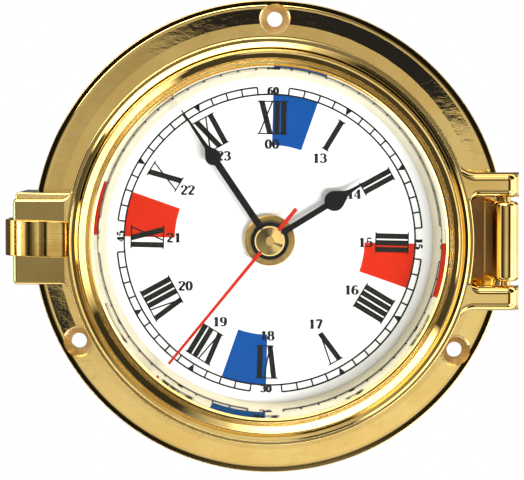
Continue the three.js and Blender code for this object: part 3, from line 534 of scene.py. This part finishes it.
def case_casting(finish):
    """Flange, wall and floor of the case. The wall is a turned section. The flange's front and back are
    cut in plan round three holes, each a short bore under a countersink with a broken edge."""
    foot, outer, broken_edge, near_enough = 51.3, 59.5, 0.12, 0.002
    screws = screw_places()
    edge = eased([(outer, 0, 0), (FLANGE, 0, 0.35), (FLANGE, float(flange_depth(FLANGE)), 0.25),
                  (outer, float(flange_depth(outer)), 0)])
    wall = eased([(foot, 4, 0), (49, 4, 2.0), (49, RIM_TOP, 0.3), (48.2, RIM_TOP, 0.1), (48.2, 25, 0),
                  (46.8, 25, 0), (46.8, RIM_TOP, 0.1), (46, RIM_TOP, 0.3), (46, 20.2, 0), (43.5, 20.2, 0.3),
                  (43.5, 1.8, 1.5), (0, 1.8, 0)])
    hole = eased([(BORE, 0, 0), (BORE, 1.85, 0.2), (3.8, 3.85, 0)], 4)[:-1]

    def clear_of_screws(spots, radius):
        return np.all([np.linalg.norm(spots - screw, axis=-1) > radius for screw in screws], axis=0)

    parts = [spun(edge), spun(wall)]
    rims = [sink_rim(screw, 120) for screw in screws]
    steps = BEVEL_START + np.array([-0.1, 0, 0.1, 0.2, 0.3, 0.4, 0.52])
    rings = [radius * ways_round(ROUND) for radius in (foot, *steps, outer)]
    front, shapes = sheet_in_plan(rings + rims, lambda middle: (
        (np.linalg.norm(middle, axis=1) > foot - 0.005) & clear_of_screws(middle, 3.2)))
    inside = np.zeros(len(shapes), bool)
    for screw, rim in zip(screws, rims):
        distance, _, limit = from_screw(front[shapes].mean(1), screw, rim)
        inside |= distance < limit - 0.0025
    parts.append((place(*front.T, flange_depth(np.linalg.norm(front, axis=1))), shapes[~inside].tolist()))
    bores = []
    for screw, rim in zip(screws, rims):
        distance, turn, limit = from_screw(front, screw, rim)
        on_rim = np.flatnonzero(np.abs(distance - limit) < near_enough)
        spots = front[on_rim[np.argsort(turn[on_rim])]]
        way = spots - screw
        length = np.linalg.norm(way, axis=1)
        top = flange_depth(np.linalg.norm(spots, axis=1))
        levels = [(np.full(len(way), radius), depth) for radius, depth in hole]
        levels.append((length - broken_edge, top - broken_edge))
        grid = [place(*(screw + way * (radius / length)[:, None]).T, depth) for radius, depth in levels]
        grid.append(place(*spots.T, top))
        parts.append((np.stack(grid), sheet_faces(len(grid), len(way))))
        bores.append(screw + way * (BORE / length)[:, None])
    back, shapes = sheet_in_plan([rings[-1], *bores], lambda middle: clear_of_screws(middle, 1.0))
    over_bores = [np.linalg.norm(back - screw, axis=1)[shapes].max(axis=1) < BORE + 0.001
                  for screw in screws]
    parts.append((place(*back.T, 0), shapes[~np.any(over_bores, axis=0)].tolist()))
    gather("case_casting", parts, finish, "case", "polished_brass", ["case_body"])


def lug_half_height(x, circle):
    """Half the height of a lug at x from the middle: filleted to a circle, with a round outer corner."""
    fillet, corner = 3.2, 1.0
    root_up = LUG_HALF + fillet
    root_x = math.sqrt((circle + fillet) ** 2 - root_up**2)
    half = LUG_HALF
    if x < root_x * circle / (circle + fillet):
        half = root_up * circle / (circle + fillet)
    elif x < root_x:
        half = root_up - math.sqrt(max(fillet**2 - min(root_x - x, fillet) ** 2, 0))
    past = x - (LUG_REACH - corner)
    return LUG_HALF - corner + math.sqrt(max(corner**2 - past**2, 0)) if past > 0 else half


def lug(name, circle, back, front, fall, easing, turn, finish, body, stands_for):
    """A lug on the left: rounded sections along X whose front falls a little outwards, turned clockwise
    about the dial's axis."""
    outer = LUG_REACH - 1 + np.sin(np.linspace(0, np.pi / 2, 12))
    stations = np.concatenate([np.linspace(circle - 4, circle + 3, 26),
                               np.linspace(circle + 3.3, LUG_REACH - 1.1, 16),
                               outer[:-1], [LUG_REACH - 0.001]])
    sections = []
    for x in stations:
        half = lug_half_height(x, circle)
        past = max(easing - (LUG_REACH - x), 0)
        drop = easing - math.sqrt(max(easing**2 - past**2, 0))
        top = front - fall * max(x - circle, 0) - drop
        section = rounded_rectangle(-half, half, back, top, easing)
        spots = turned_about(np.stack([np.full(len(section), -x), section[:, 0]], -1), turn)
        sections.append(place(*spots.T, section[:, 1]))
    finish_mesh(name, *loft(sections), finish, body, "polished_brass", stands_for)


def knuckle(finish):
    """The case's part of the hinge: a block with a round top, eased in at both ends."""
    easing, end = 1.1, 9.75
    round_end = end - easing + np.sin(np.linspace(0, np.pi / 2, 9)) * easing
    half = np.concatenate([np.linspace(0, end - easing - 0.05, 4), round_end])
    sections = []
    for up in np.concatenate([-half[:0:-1], half]):
        past = max(abs(up) - (end - easing), 0)
        radius = BARREL - easing + math.sqrt(max(easing**2 - past**2, 0))
        left, right = PIN_X - radius, PIN_X + radius
        foot = [(left, 12), (left, 3.5), (left, 0.05), (right, 0.05), (right, 3.5), (right, 12)]
        section = np.vstack([arc(PIN_X, PIN_DEPTH, radius, 0, 180, 32), foot])
        sections.append(place(section[:, 0], up, section[:, 1]))
    finish_mesh("hinge_knuckle", *loft(sections), finish, "case", "polished_brass", ["case_body"])


def hinge_pin(finish):
    """The pin: a rod along Z with domed ends."""
    half, dome_height = 16.9, 0.4
    across, rise = arc(0, 0, 1.2, 0, 90, 6).T
    end = half - dome_height + rise / 3
    path = np.vstack([[(0, -half)], np.stack([across, -end], -1)[::-1][1:],
                      np.stack([across, end], -1)[:-1], [(0, half)]])
    radius, up = path.T
    x, depth = ways_round(48).T
    grid = place(PIN_X + radius[:, None] * x, up[:, None], PIN_DEPTH + radius[:, None] * depth)
    finish_mesh("hinge_rod", grid, sheet_faces(len(path), 48), finish, "case", "turned_brass", ["hinge_pin"])


# Bezel

def bezel_casting(finish):
    """The bezel's turned ring: lip over the glass, three fine grooves, a bead, a cove, a smaller
    bead and a flat band."""
    groove = []
    for k in range(3):
        groove += [(43.86 + 0.27 * k, 37.1, 0.05), (43.99 + 0.27 * k, 37.36, 0.06)]
    corners = [
        (42.8, LIP_BACK, 0.1), (42.8, 36.3, 0.06), (43.3, 36.805, 0.05), (43.75, 37.215, 0.05), *groove,
        (44.62, 37.1, 0.08), (44.68, 37.45, 0.08), (45.75, 38.33, 0.7), (46.2, BEZEL_TOP, 0.3),
        (46.55, 38.5, 0.15), (46.62, 36.2, 0.1), (47.3, 36.68, 0.15), (48.1, 36.53, 0.3),
        (48.6, 36.28, 0.2), (48.7, 35.85, 0.1), (48.7, 31.55, 0.12), (50, 31.42, 0.5),
        (50, BEZEL_BACK, 0.2), (45.1, BEZEL_BACK, 0.1), (45.1, LIP_BACK, 0.1),
    ]
    turned("bezel_casting", corners, finish, "bezel", "polished_brass", ["bezel_ring"])


def arm_edges(x):
    """The inner and outer side of a hinge arm at x: filleted to the ring on both sides."""
    inner_fillet, inner_x = 2.0, 51.24
    outer_fillet, outer_x = 4.5, 50.12
    low, high = ARM_INNER, ARM_OUTER
    if x <= inner_x - inner_fillet:
        low = 8.6
    elif x < inner_x:
        low += math.sqrt(max(inner_fillet**2 - (inner_x - x) ** 2, 0)) - inner_fillet
    if x <= 45.98:
        high = 19.63
    elif x < outer_x:
        high += outer_fillet - math.sqrt(max(outer_fillet**2 - (outer_x - x) ** 2, 0))
    return low, high


def hinge_arm(name, side, finish):
    """One arm of the bezel's hinge: rounded sections along X that end in a barrel round the pin."""
    turn = np.radians(np.linspace(0, 89, 22))
    stations = np.concatenate([np.linspace(44, 52, 34), np.linspace(52.5, PIN_X - 0.1, 14),
                               PIN_X + BARREL * np.sin(turn)])
    sections = []
    for x in stations:
        low, high = arm_edges(x)
        rise = math.sqrt(max(BARREL**2 - (x - PIN_X) ** 2, 0))
        top = PIN_DEPTH + rise if x > PIN_X else BAND_FRONT - 0.02
        bottom = PIN_DEPTH - rise if x > PIN_X else min(BEZEL_BACK, PIN_DEPTH - rise)
        section = rounded_rectangle(low, high, bottom, top, 2.0, 8)
        sections.append(place(x, side * section[:, 0], section[:, 1]))
    finish_mesh(name, *loft(sections), finish, "bezel", "polished_brass", ["bezel_ring"])


def catch_strip(finish):
    """The spring catch: a flat strip carried along its bowed line, edges eased, free end rounded."""
    line = smooth_path([
        (-49.5, 29.4), (-49.5, 31.1), (-49.67, 31.95), (-50.15, 32.4), (-51.2, 32.6), (-54.0, 32.7),
        (-55.2, 32.97), (-56.6, 33.22), (-58.2, 33.07), (-60.0, 32.47), (-62.2, 31.1), (-63.7, 29.3),
        (-64.4, 27.0), (-64.2, 24.0), (-63.7, 20.0), (-64.0, 15.3), (-65.4, 13.3)], 240)
    along = np.gradient(line, axis=0)
    along /= np.linalg.norm(along, axis=1)[:, None]
    across = np.stack([-along[:, 1], along[:, 0]], -1)
    travelled = np.concatenate([[0], np.cumsum(np.linalg.norm(np.diff(line, axis=0), axis=1))])
    half_width, corner, lift, lean = 4.4, 1.2, 0.75, math.tan(math.radians(1.7))
    sections = []
    for middle, normal, left in zip(line, across, travelled[-1] - travelled):
        half = half_width - corner + math.sqrt(corner**2 - max(corner - left, 0) ** 2)
        thick, up = rounded_rectangle(-0.5, 0.5, -half, half, 0.22, 4).T
        x = middle[0] + normal[0] * thick
        sections.append(place(x, up + lift - lean * (x + 57), middle[1] + normal[1] * thick))
    finish_mesh("catch_strip", *loft(sections), finish, "latch", "sprung_brass", ["latch_clip"])


# Dial and its print

def turned_about(points, degrees, x=0.0, up=0.0):
    """Points of (x, up) turned clockwise about the middle, then moved."""
    a = math.radians(degrees)
    p = np.asarray(points, float)
    return np.stack([p[:, 0] * math.cos(a) + p[:, 1] * math.sin(a) + x,
                     -p[:, 0] * math.sin(a) + p[:, 1] * math.cos(a) + up], -1)


def on_dial(radius, degrees):
    """A place on the dial, clockwise from its twelve."""
    a = np.radians(np.asarray(degrees, float) + DIAL_TURN)
    return np.stack([radius * np.sin(a), radius * np.cos(a)], -1)


def ribbon(one, other, height=INK_HEIGHT):
    """Ink between two lines of points: a low closed strip on the dial."""
    one, other = np.asarray(one, float), np.asarray(other, float)
    low, high = DIAL_FRONT - 0.01, DIAL_FRONT + height
    return loft([place([p[0], p[0], q[0], q[0]], [p[1], p[1], q[1], q[1]], [low, high, high, low])
                 for p, q in zip(one, other)])


def pen(points, thick, thin, closed=False):
    """The two edges of a pen stroke along points: thick where it runs upright, thin where it runs level."""
    p = np.asarray(points, float)
    along = (np.roll(p, -1, 0) - np.roll(p, 1, 0)) if closed else np.gradient(p, axis=0)
    along /= np.linalg.norm(along, axis=1)[:, None] + 1e-12
    across = np.stack([-along[:, 1], along[:, 0]], -1)
    half = (thin + (thick - thin) * np.abs(along[:, 1]) ** 1.6)[:, None] / 2
    one, other = p + across * half, p - across * half
    if closed:
        one, other = np.vstack([one, one[:1]]), np.vstack([other, other[:1]])
    return one, other


def figure_strokes(figure):
    """The pen strokes of one figure in a box one high and about 0.62 wide: (points, closed, weight)."""
    def line(x, y, to_x, to_y, weight=1):
        return [(x, y), (to_x, to_y)], False, weight

    def bow(steps, *points):
        return smooth_path(points, steps), False, 1

    def ring(x, y, wide, high):
        return arc(0, 0, 1, 0, 345, 23) * [wide, high] + [x, y], True, 1

    return {
        "0": [ring(0.31, 0.5, 0.2, 0.46)],
        "1": [line(0.34, 0.0, 0.34, 0.98, 1.1), line(0.34, 0.93, 0.14, 0.8, 0.8),
              line(0.13, 0.03, 0.53, 0.03)],
        "2": [bow(22, (0.1, 0.74), (0.16, 0.9), (0.31, 0.96), (0.48, 0.86), (0.49, 0.66), (0.3, 0.38),
                  (0.08, 0.06)), line(0.08, 0.07, 0.55, 0.07, 2.2)],
        "3": [bow(18, (0.1, 0.8), (0.2, 0.94), (0.36, 0.94), (0.48, 0.76), (0.4, 0.57), (0.24, 0.53)),
              bow(20, (0.24, 0.53), (0.44, 0.48), (0.52, 0.27), (0.38, 0.05), (0.18, 0.05), (0.08, 0.2))],
        "4": [line(0.4, 0.98, 0.05, 0.3, 0.45), line(0.04, 0.28, 0.6, 0.28, 1.2),
              line(0.42, 0.0, 0.42, 0.98), line(0.26, 0.03, 0.58, 0.03)],
        "5": [line(0.15, 0.92, 0.52, 0.92, 2), line(0.16, 0.94, 0.13, 0.52, 0.4),
              bow(22, (0.13, 0.53), (0.3, 0.62), (0.48, 0.52), (0.52, 0.3), (0.4, 0.06), (0.2, 0.05),
                  (0.08, 0.19))],
        "6": [ring(0.31, 0.3, 0.2, 0.27),
              bow(16, (0.5, 0.84), (0.38, 0.95), (0.22, 0.86), (0.12, 0.6), (0.11, 0.3))],
        "7": [line(0.08, 0.92, 0.56, 0.92, 2.2), line(0.54, 0.9, 0.24, 0.0),
              line(0.09, 0.95, 0.09, 0.76, 0.4)],
        "8": [ring(0.31, 0.73, 0.17, 0.23), ring(0.31, 0.27, 0.21, 0.26)],
        "9": [ring(0.31, 0.68, 0.2, 0.27),
              bow(16, (0.12, 0.14), (0.24, 0.04), (0.4, 0.12), (0.5, 0.38), (0.51, 0.68))],
    }[figure]


def write_figures(text, x, up, height, turn=0.0, thick=0.25, thin=0.09):
    """Figures centred at (x, up) of the dial, turned clockwise by turn degrees."""
    step, wide = 0.77, 1.22
    made = []
    for k, figure in enumerate(text):
        shift = np.array([(k - len(text) / 2) * step, -0.5])
        for points, closed, weight in figure_strokes(figure):
            edges = pen(points, thick * weight, thin * max(weight, 0.8), closed)
            made.append(ribbon(*(turned_about((edge * [wide, 1] + shift) * height, turn, x, up)
                                 for edge in edges)))
    return made


def roman_bars(text):
    """Bars of a Roman numeral as (foot x, top x, width), and its total width."""
    widths = {"I": 1.68, "V": 3.4, "X": 3.8}
    bars, start = [], 0.0
    for letter in text:
        half = widths[letter] / 2
        middle = start + half
        bars += {"I": [(middle, middle, 1.34)],
                 "V": [(middle + 0.1, middle - half + 0.68, 1.32),
                       (middle + 0.1, middle + half - 0.25, 0.38)],
                 "X": [(middle + half - 0.8, middle - half + 0.8, 1.42),
                       (middle - half + 0.35, middle + half - 0.35, 0.4)]}[letter]
        start += widths[letter]
    return bars, start


def roman_numeral(text, hour):
    """A Roman numeral that stands on the inner circle with its feet towards the middle. One thin serif
    runs under all its feet and one over all its tops, past the bars by a little. A lone V has no foot
    serif."""
    bars, width = roman_bars(text)
    half, radius, serif, past = 4.0, 30.3, 0.16, 0.35
    x, up = on_dial(radius, hour * 30)

    def lay(points):
        shifted = np.asarray(points, float) - [width / 2, 0]
        return turned_about(shifted, hour * 30 + DIAL_TURN, x, up)

    made = [ribbon(lay([(foot - w / 2, -half), (top - w / 2, half)]),
                   lay([(foot + w / 2, -half), (top + w / 2, half)])) for foot, top, w in bars]
    for level, end in ((-half, 0), (half, 1)):
        if text == "V" and end == 0:
            continue
        low = min(bar[end] - bar[2] / 2 for bar in bars) - past
        high = max(bar[end] + bar[2] / 2 for bar in bars) + past
        made.append(ribbon(*(lay([(low, level + side), (high, level + side)]) for side in (-serif, serif))))
    return made


def minute_track():
    """Two thin circles with a tick at each minute, open round the four figures, and wedges at the fives."""
    inner, outer, line, tick = 36.03, 37.83, 0.21, 0.2
    made = []
    for quarter in range(4):
        for radius, first, last in ((inner, 0, 90), (outer, 6, 84)):
            turn = np.linspace(first, last, last - first + 1) + 90 * quarter
            made.append(ribbon(on_dial(radius - line, turn), on_dial(radius + line, turn)))
    for minute in range(60):
        turn = minute * 6.0
        if minute % 15 == 0:
            continue
        if minute % 5 == 0:
            low, high = on_dial(inner + 0.02, turn), on_dial(outer - 0.03, turn)
            side = turned_about([(0.8, 0)], turn + DIAL_TURN)[0]
            made.append(ribbon([low - side * 0.05, high - side], [low + side * 0.05, high + side]))
        else:
            half = math.degrees(tick / 37)
            ends = np.array([inner, outer])
            made.append(ribbon(*(on_dial(ends, [turn + lean] * 2) for lean in (-half, half))))
    return made


def dial_print(black, blue, red):
    """All that is printed on the dial: track, figures, Roman hours, 24-hour figures and sectors."""
    marks = minute_track()
    for text, turn, lean in (("60", 0, 0), ("15", 90, 90), ("30", 180, 0), ("45", 270, 270)):
        marks += write_figures(text, *on_dial(36.95, turn), 1.8, lean + DIAL_TURN, 0.31, 0.13)
    for hour, text in enumerate("XII I II III IIII V VI VII VIII IX X XI".split()):
        marks += roman_numeral(text, hour)
    for hour in range(12):
        marks += write_figures(str(12 + hour) if hour else "00", *on_dial(23.75, hour * 30), 2.35)
    gather("dial_black_print", marks, black, "case", "hand_black")
    for name, tint, starts in (("dial_blue_sectors", blue, (0, 180)), ("dial_red_sectors", red, (90, 270))):
        turns = [np.linspace(0, 18, 19) + start for start in starts]
        sectors = [ribbon(on_dial(23.5, turn), on_dial(35.95, turn), SECTOR_HEIGHT) for turn in turns]
        gather(name, sectors, tint, "case", "dial_white")


# Hands

def spade_outline(tip, bulb, radius, arm, boss):
    """A hand towards twelve: boss, straight arm, round bulb whose sides hollow into a long point."""
    half, spread = arm / 2, 32
    foot = math.degrees(math.asin(half / boss))
    neck = math.degrees(math.asin(half / radius))
    shoulder = arc(0, bulb, radius, -90 + neck, spread, 18)
    hollow = smooth_path([shoulder[-1], (radius * 0.55, bulb + radius * 1.02),
                          (radius * 0.3, bulb + radius * 1.45), (half * 0.62, bulb + radius * 2.05),
                          (half * 0.42, (bulb + tip) / 2 + radius), (0.13, tip)], 30)[1:]
    right = np.vstack([shoulder, hollow])
    return np.vstack([arc(0, 0, boss, 90 + foot, 450 - foot, 48), right, right[::-1] * [-1, 1]])


def hands(black, red, brass):
    """Hour, minute and second hand, each cut from sheet with its edges eased, and the turned cap."""
    for name, sizes, angle, back, boss, body, node in (
        ("hour_blade", (29.1, 18.7, 2.5, 1.5, 3.4), 58.5, 24.4, 4.3, "hour", "hour_hand"),
        ("minute_blade", (38.8, 24.8, 2.0, 1.7, 3.8), 326.0, 25.75, 4.7, "minute", "minute_hand"),
    ):
        blade = loft(plate_rings(turned_about(spade_outline(*sizes), angle), back, back + 0.45, 0.1, 3))
        low, high = back + 0.02, back + 0.88
        collar = eased([(1.0, low, 0), (boss, low, 0.1), (boss, high, 0.22), (1.0, high, 0)], 5)
        collar = spun(np.vstack([[(0, low)], collar, [(0, high)]]), 96)
        gather(name, [blade, collar], black, body, "hand_black", [node])
    outline = eased([(-0.5, -10.3, 0.1), (0.5, -10.3, 0.1), (0.34, 39.2, 0.1), (-0.34, 39.2, 0.1)], 3, True)
    blade = loft(plate_rings(turned_about(outline, 219.4), 27.1, 27.5, 0.08, 3))
    eye = spun([(0, 27.08), (2.4, 27.08), (2.4, 27.5), (2.3, 27.56), (0, 27.56)], 64)
    gather("second_blade", [blade, eye], red, "second", "hand_red", ["second_hand"])
    cap = eased([(0, 27.8, 0), (3.7, 27.8, 0.05), (3.7, 27.97, 0.04), (3.38, 28.47, 0.04),
                 (1.0, 29.34, 0.25), (0, 29.34, 0)])
    finish_mesh("cone_cap", *spun(cap, 128), brass, "second", "turned_brass", ["hand_cap"])


# The whole clock

def clock():
    """Every piece with its material, then the CAD pieces that are carried over as they are."""
    brass = polished_brass()
    spun_brass = lathe_brass("turned_brass", 5200.0, 400.0, srgb(222, 186, 112), srgb(196, 158, 86),
                             0.14, 0.00004, 0.5)
    pale_brass = lathe_brass("pale_brass", 3000.0, 200.0, srgb(228, 217, 186), srgb(219, 207, 174),
                             0.05, 0.00002, 0.3)
    rubber = moulded("black_rubber", srgb(30, 30, 29), 0.55)
    plastic = moulded("black_plastic", srgb(34, 34, 37), 0.4)
    resin = moulded("pale_resin", srgb(226, 220, 200), 0.38, 900.0)
    iron = sheet_metal("stator_iron", srgb(186, 186, 184), 0.22)
    case_casting(polished_brass(crown=True))
    lug("case_lug", 49.0, 0.3, RIM_TOP, 0.0, 0.5, DIAL_TURN, brass, "case", ["case_body"])
    knuckle(brass)
    hinge_pin(spun_brass)
    bezel_casting(brass)
    lug("bezel_lug", 50.0, BEZEL_BACK, BAND_FRONT - 0.05, 0.088, 0.8, 0.0, brass, "bezel", ["bezel_ring"])
    hinge_arm("hinge_arm_upper", 1, brass)
    hinge_arm("hinge_arm_lower", -1, brass)
    catch_strip(sprung_brass())
    turned("dial_disc", [(0, 20.5, 0), (45.7, 20.5, 0.1), (45.7, DIAL_FRONT, 0.1), (0, DIAL_FRONT, 0)],
           dial_paint(), "case", "dial_white", ["dial_plate"], closed=False)
    turned("light_ring", [(40.3, 21.6, 0.1), (42.0, 29.0, 2.0), (43.1, 32.6, 0.15), (43.8, 32.6, 0.15),
                          (42.7, 29.0, 0.1), (41.0, 22.3, 0.1), (45.7, 22.3, 0.1), (45.7, 21.6, 0.1)],
           pale_brass, "case", "polished_brass", ["reflector_ring"])
    turned("glass_disc", [(0, 33.5, 0), (44.8, 33.5, 0.3), (44.8, 35.5, 0.3), (0, 35.5, 0)],
           clear_glass(), "bezel", "lens_glass", ["bezel_glass"], closed=False)
    turned("glass_seat", [(43.9, 32.3, 0.15), (44.8, 32.3, 0.15), (44.8, 33.2, 0.15), (43.9, 33.2, 0.15)],
           rubber, "bezel", "black_rubber", ["glass_gasket"], steps=4)
    turned("seal_ring", [(46.9, 25.2, 0.15), (48.1, 25.2, 0.15), (48.1, 26.1, 0.3), (46.9, 26.1, 0.3)],
           rubber, "case", "black_rubber", ["case_seal"], steps=4)
    turned("dial_nut", [(4.1, 21.6, 0.1), (6.3, 21.6, 0.1), (6.3, 23.8, 0.35), (4.1, 23.8, 0.15)],
           spun_brass, "case", "turned_brass", ["centre_nut"], segments=144)
    dial_print(ink("black_ink", srgb(30, 31, 26)), ink("blue_ink", srgb(6, 75, 150)),
               ink("red_ink", srgb(203, 40, 10)))
    hands(lacquer("black_lacquer", srgb(16, 16, 16)), lacquer("red_lacquer", srgb(186, 37, 18)), brass)
    for finish, nodes in (
        (rubber, ("dial_washer",)),
        (spun_brass, ("threaded_bush",)),
        (plastic, ("movement_front_housing", "movement_back_cover", "setting_knob")),
        (resin, ("movement_bridge", "minute_arbor", "hour_wheel", "minute_work_wheel", "second_wheel",
                 "third_wheel", "centre_wheel", "step_wheel")),
        (sheet_metal("magnet_grey", srgb(92, 92, 94), 0.4), ("rotor",)),
        (iron, ("stator", "quartz_crystal", "contact_positive", "contact_negative")),
        (copper_winding(), ("coil",)),
        (printed_board(), ("circuit_board",)),
        (moulded("cell_jacket", srgb(38, 84, 140), 0.25, 300.0, 0.00001), ("battery",)),
    ):
        for node in nodes:
            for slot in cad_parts[node].material_slots:
                slot.material = finish


# Light, floor and camera

def studio():
    """A pale world that is lit from above and seen by mirrors as a studio. Each brass form faces its
    own range of angles from the clock's front, so each range holds what that form shows: the flat
    fronts a patch behind the lens, the slopes and rounds rings of soft boxes and gaps whose light
    changes round the clock, and the steep walls a dim room."""
    world = Finish("studio", world=True)
    bpy.context.scene.world = world.data
    x, y, z = world.parts(world.node("TexCoord", output=0))
    polar = (-y).maths("ARCCOSINE") * (180 / math.pi)
    turn = x.maths("ARCTAN2", z) * (0.5 / math.pi) + 0.5

    def round_the_clock(levels):
        """A value that changes with the clock angle: pairs of degrees (-180 to 180) and value."""
        most = max(v for _, v in levels)
        stops = [((degrees + 180) / 360, (v / most,) * 3) for degrees, v in levels]
        return world.node("ValToRGB", {"stops": stops}, (turn,)) * most

    def band(low, high, soft):
        """1 between two angles from the clock's front, with soft edges."""
        return polar.ramp(low - soft, low + soft) * (1 - polar.ramp(high - soft, high + soft))

    patch_edge = round_the_clock((
        (-180, 13), (-136, 13), (-130, 8.9), (-112, 8.9), (-104, 13), (-46, 13), (-38, 7.2), (-22, 5.4),
        (-8, 4.9), (2, 4.8), (63, 4.8), (71, 7.4), (78, 9.5), (92, 9.5), (100, 13), (180, 13)))
    ahead = (-y).most(0.05)
    across, up = x / ahead, z / ahead + 0.042
    seen = (1 - (polar - patch_edge).ramp(-0.6, 0.8)) * (across * 0.6 - up * 1.8 + 0.76)
    seen = seen.most(band(12.8, 21.5, 1) * 0.3)
    rings = (
        # the flange's bevel
        (22.5, 30, 1, ((-180, 0.9), (-150, 0.7), (-125, 0.12), (-62, 0.12), (-56, 9.0), (0, 9.0), (14, 1.2),
                       (30, 0.03), (115, 0.03), (150, 0.5), (180, 0.9))),
        # the cap's cone
        (37.5, 42.8, 0.4, ((-180, 0.4), (-120, 0.25), (-60, 0.12), (-14, 0.06), (-6, 0.3), (10, 0.25),
                           (16, 0.7), (30, 1.3), (80, 1.3), (100, 1.0), (106, 0.12), (118, 0.12),
                           (124, 1.0), (150, 0.9), (180, 0.4))),
        # where crown, bead and eased edges turn away
        (46, 62, 2, ((-180, 0.9), (-150, 1.1), (-122, 1.3), (-84, 1.3), (-80, 0.1), (-66, 0.1), (-60, 5.0),
                     (0, 5.0), (14, 1.2), (30, 0.05), (72, 0.05), (84, 3.5), (148, 3.5), (156, 0.1),
                     (170, 0.1), (174, 0.9), (180, 0.9))),
        # the catch's bow
        (62.5, 69, 1, ((-180, 0), (-99, 0), (-96, 12.0), (-84, 12.0), (-81, 0), (180, 0))),
        # the inner slopes of crown and bead
        (71, 77.8, 0.8, ((-180, 0.08), (-66, 0.08), (-60, 5.0), (0, 5.0), (14, 1.0), (30, 0.05), (72, 0.05),
                         (84, 3.5), (145, 3.5), (153, 0.08), (180, 0.08))),
        # the lip beside the glass
        (84, 90, 0.5, ((-180, 6.0), (-100, 6.0), (-70, 2.5), (0, 2.0), (40, 2.5), (60, 5.0), (180, 6.0))),
        # the countersinks
        (89, 102, 0.5, ((-180, 1.9), (-154, 1.5), (-149, 0.3), (-143, 0.3), (-137, 1.9), (-60, 2.2),
                        (-52, 0.5), (-44, 1.5), (20, 1.9), (52, 1.7), (57, 0.2), (66, 0.2), (72, 1.9),
                        (180, 1.9))),
    )
    for low, high, soft, levels in rings:
        seen = seen.most(round_the_clock(levels) * band(low, high, soft))
    # A side light for the hinge, dim walls, and a floor under all of it
    side = round_the_clock(((-180, 0), (70, 0), (76, 1.2), (106, 1.2), (111, 0), (180, 0)))
    walls = round_the_clock(((-180, 0.6), (-166, 0.12), (-110, 0.1), (-75, 0.14), (60, 0.2), (110, 0.3),
                             (138, 0.5), (150, 0.75), (180, 0.6)))
    seen = seen.most(side * polar.ramp(34, 40)).most(walls * polar.ramp(78, 79.5)).most(0.012)
    daylight = z.most(0.0) * 0.95 + 0.38
    path = world.node("LightPath")
    glossy = Value(world, path.socket.node.outputs["Is Glossy Ray"])
    strength = path + (1 - path) * (glossy * seen + (1 - glossy) * daylight)
    shader = world.node("Background", inputs={"Color": (1, 1, 1, 1), "Strength": strength})
    world.tree.links.new(shader.socket, world.output.inputs[0])


def aimed(name, data, spot, aim):
    """A lamp or camera put at a spot and turned towards its aim."""
    made = bpy.data.objects.new(name, data)
    made.location = spot
    made.rotation_euler = (Vector(aim) - Vector(spot)).to_track_quat("-Z", "Y").to_euler()
    bpy.context.scene.collection.objects.link(made)
    return made


def key_lamp(spot, size, power):
    """A square soft light aimed at the clock. Mirrors don't show it: the world stands in for its image."""
    data = bpy.data.lights.new("key", "AREA")
    data.size = size
    data.energy = power
    aimed("key", data, spot, (0, 0, 0)).visible_glossy = False


def floor():
    """A plain pale floor well under the clock, which hangs on a wall that isn't drawn."""
    f = Finish("floor_white")
    grain = f.noise(30.0, 2.0)
    finish = f.surface(Base_Color=f.blend(grain, srgb(246, 246, 246), srgb(250, 250, 250)), Roughness=0.8)
    reach, level = 0.6, -0.2
    corners = [(x * reach, y * reach, level) for x, y in ((-1, -1), (1, -1), (1, 1), (-1, 1))]
    mesh = bpy.data.meshes.new("floor")
    mesh.from_pydata(corners, [], [(0, 1, 2, 3)])
    mesh.materials.append(finish)
    slab = bpy.data.objects.new("floor", mesh)
    bpy.context.scene.collection.objects.link(slab)
    slab.visible_glossy = False


def camera():
    """A long lens 700 mm from the wall and a little above the dial's axis. Its focal length is 2742
    pixels of a picture that is 524 wide."""
    data = bpy.data.cameras.new("camera")
    data.sensor_width = 36.0
    data.lens = 36.0 * 2742 / 524
    bpy.context.scene.camera = aimed("camera", data, (-0.0019, -0.7, 0.0285), (-0.0019, 0.0, -0.0009))


clock()
studio()
key_lamp((0.31, -0.74, -0.30), 0.45, 21.0)
floor()
camera()
bpy.context.scene.view_settings.view_transform = "Standard"
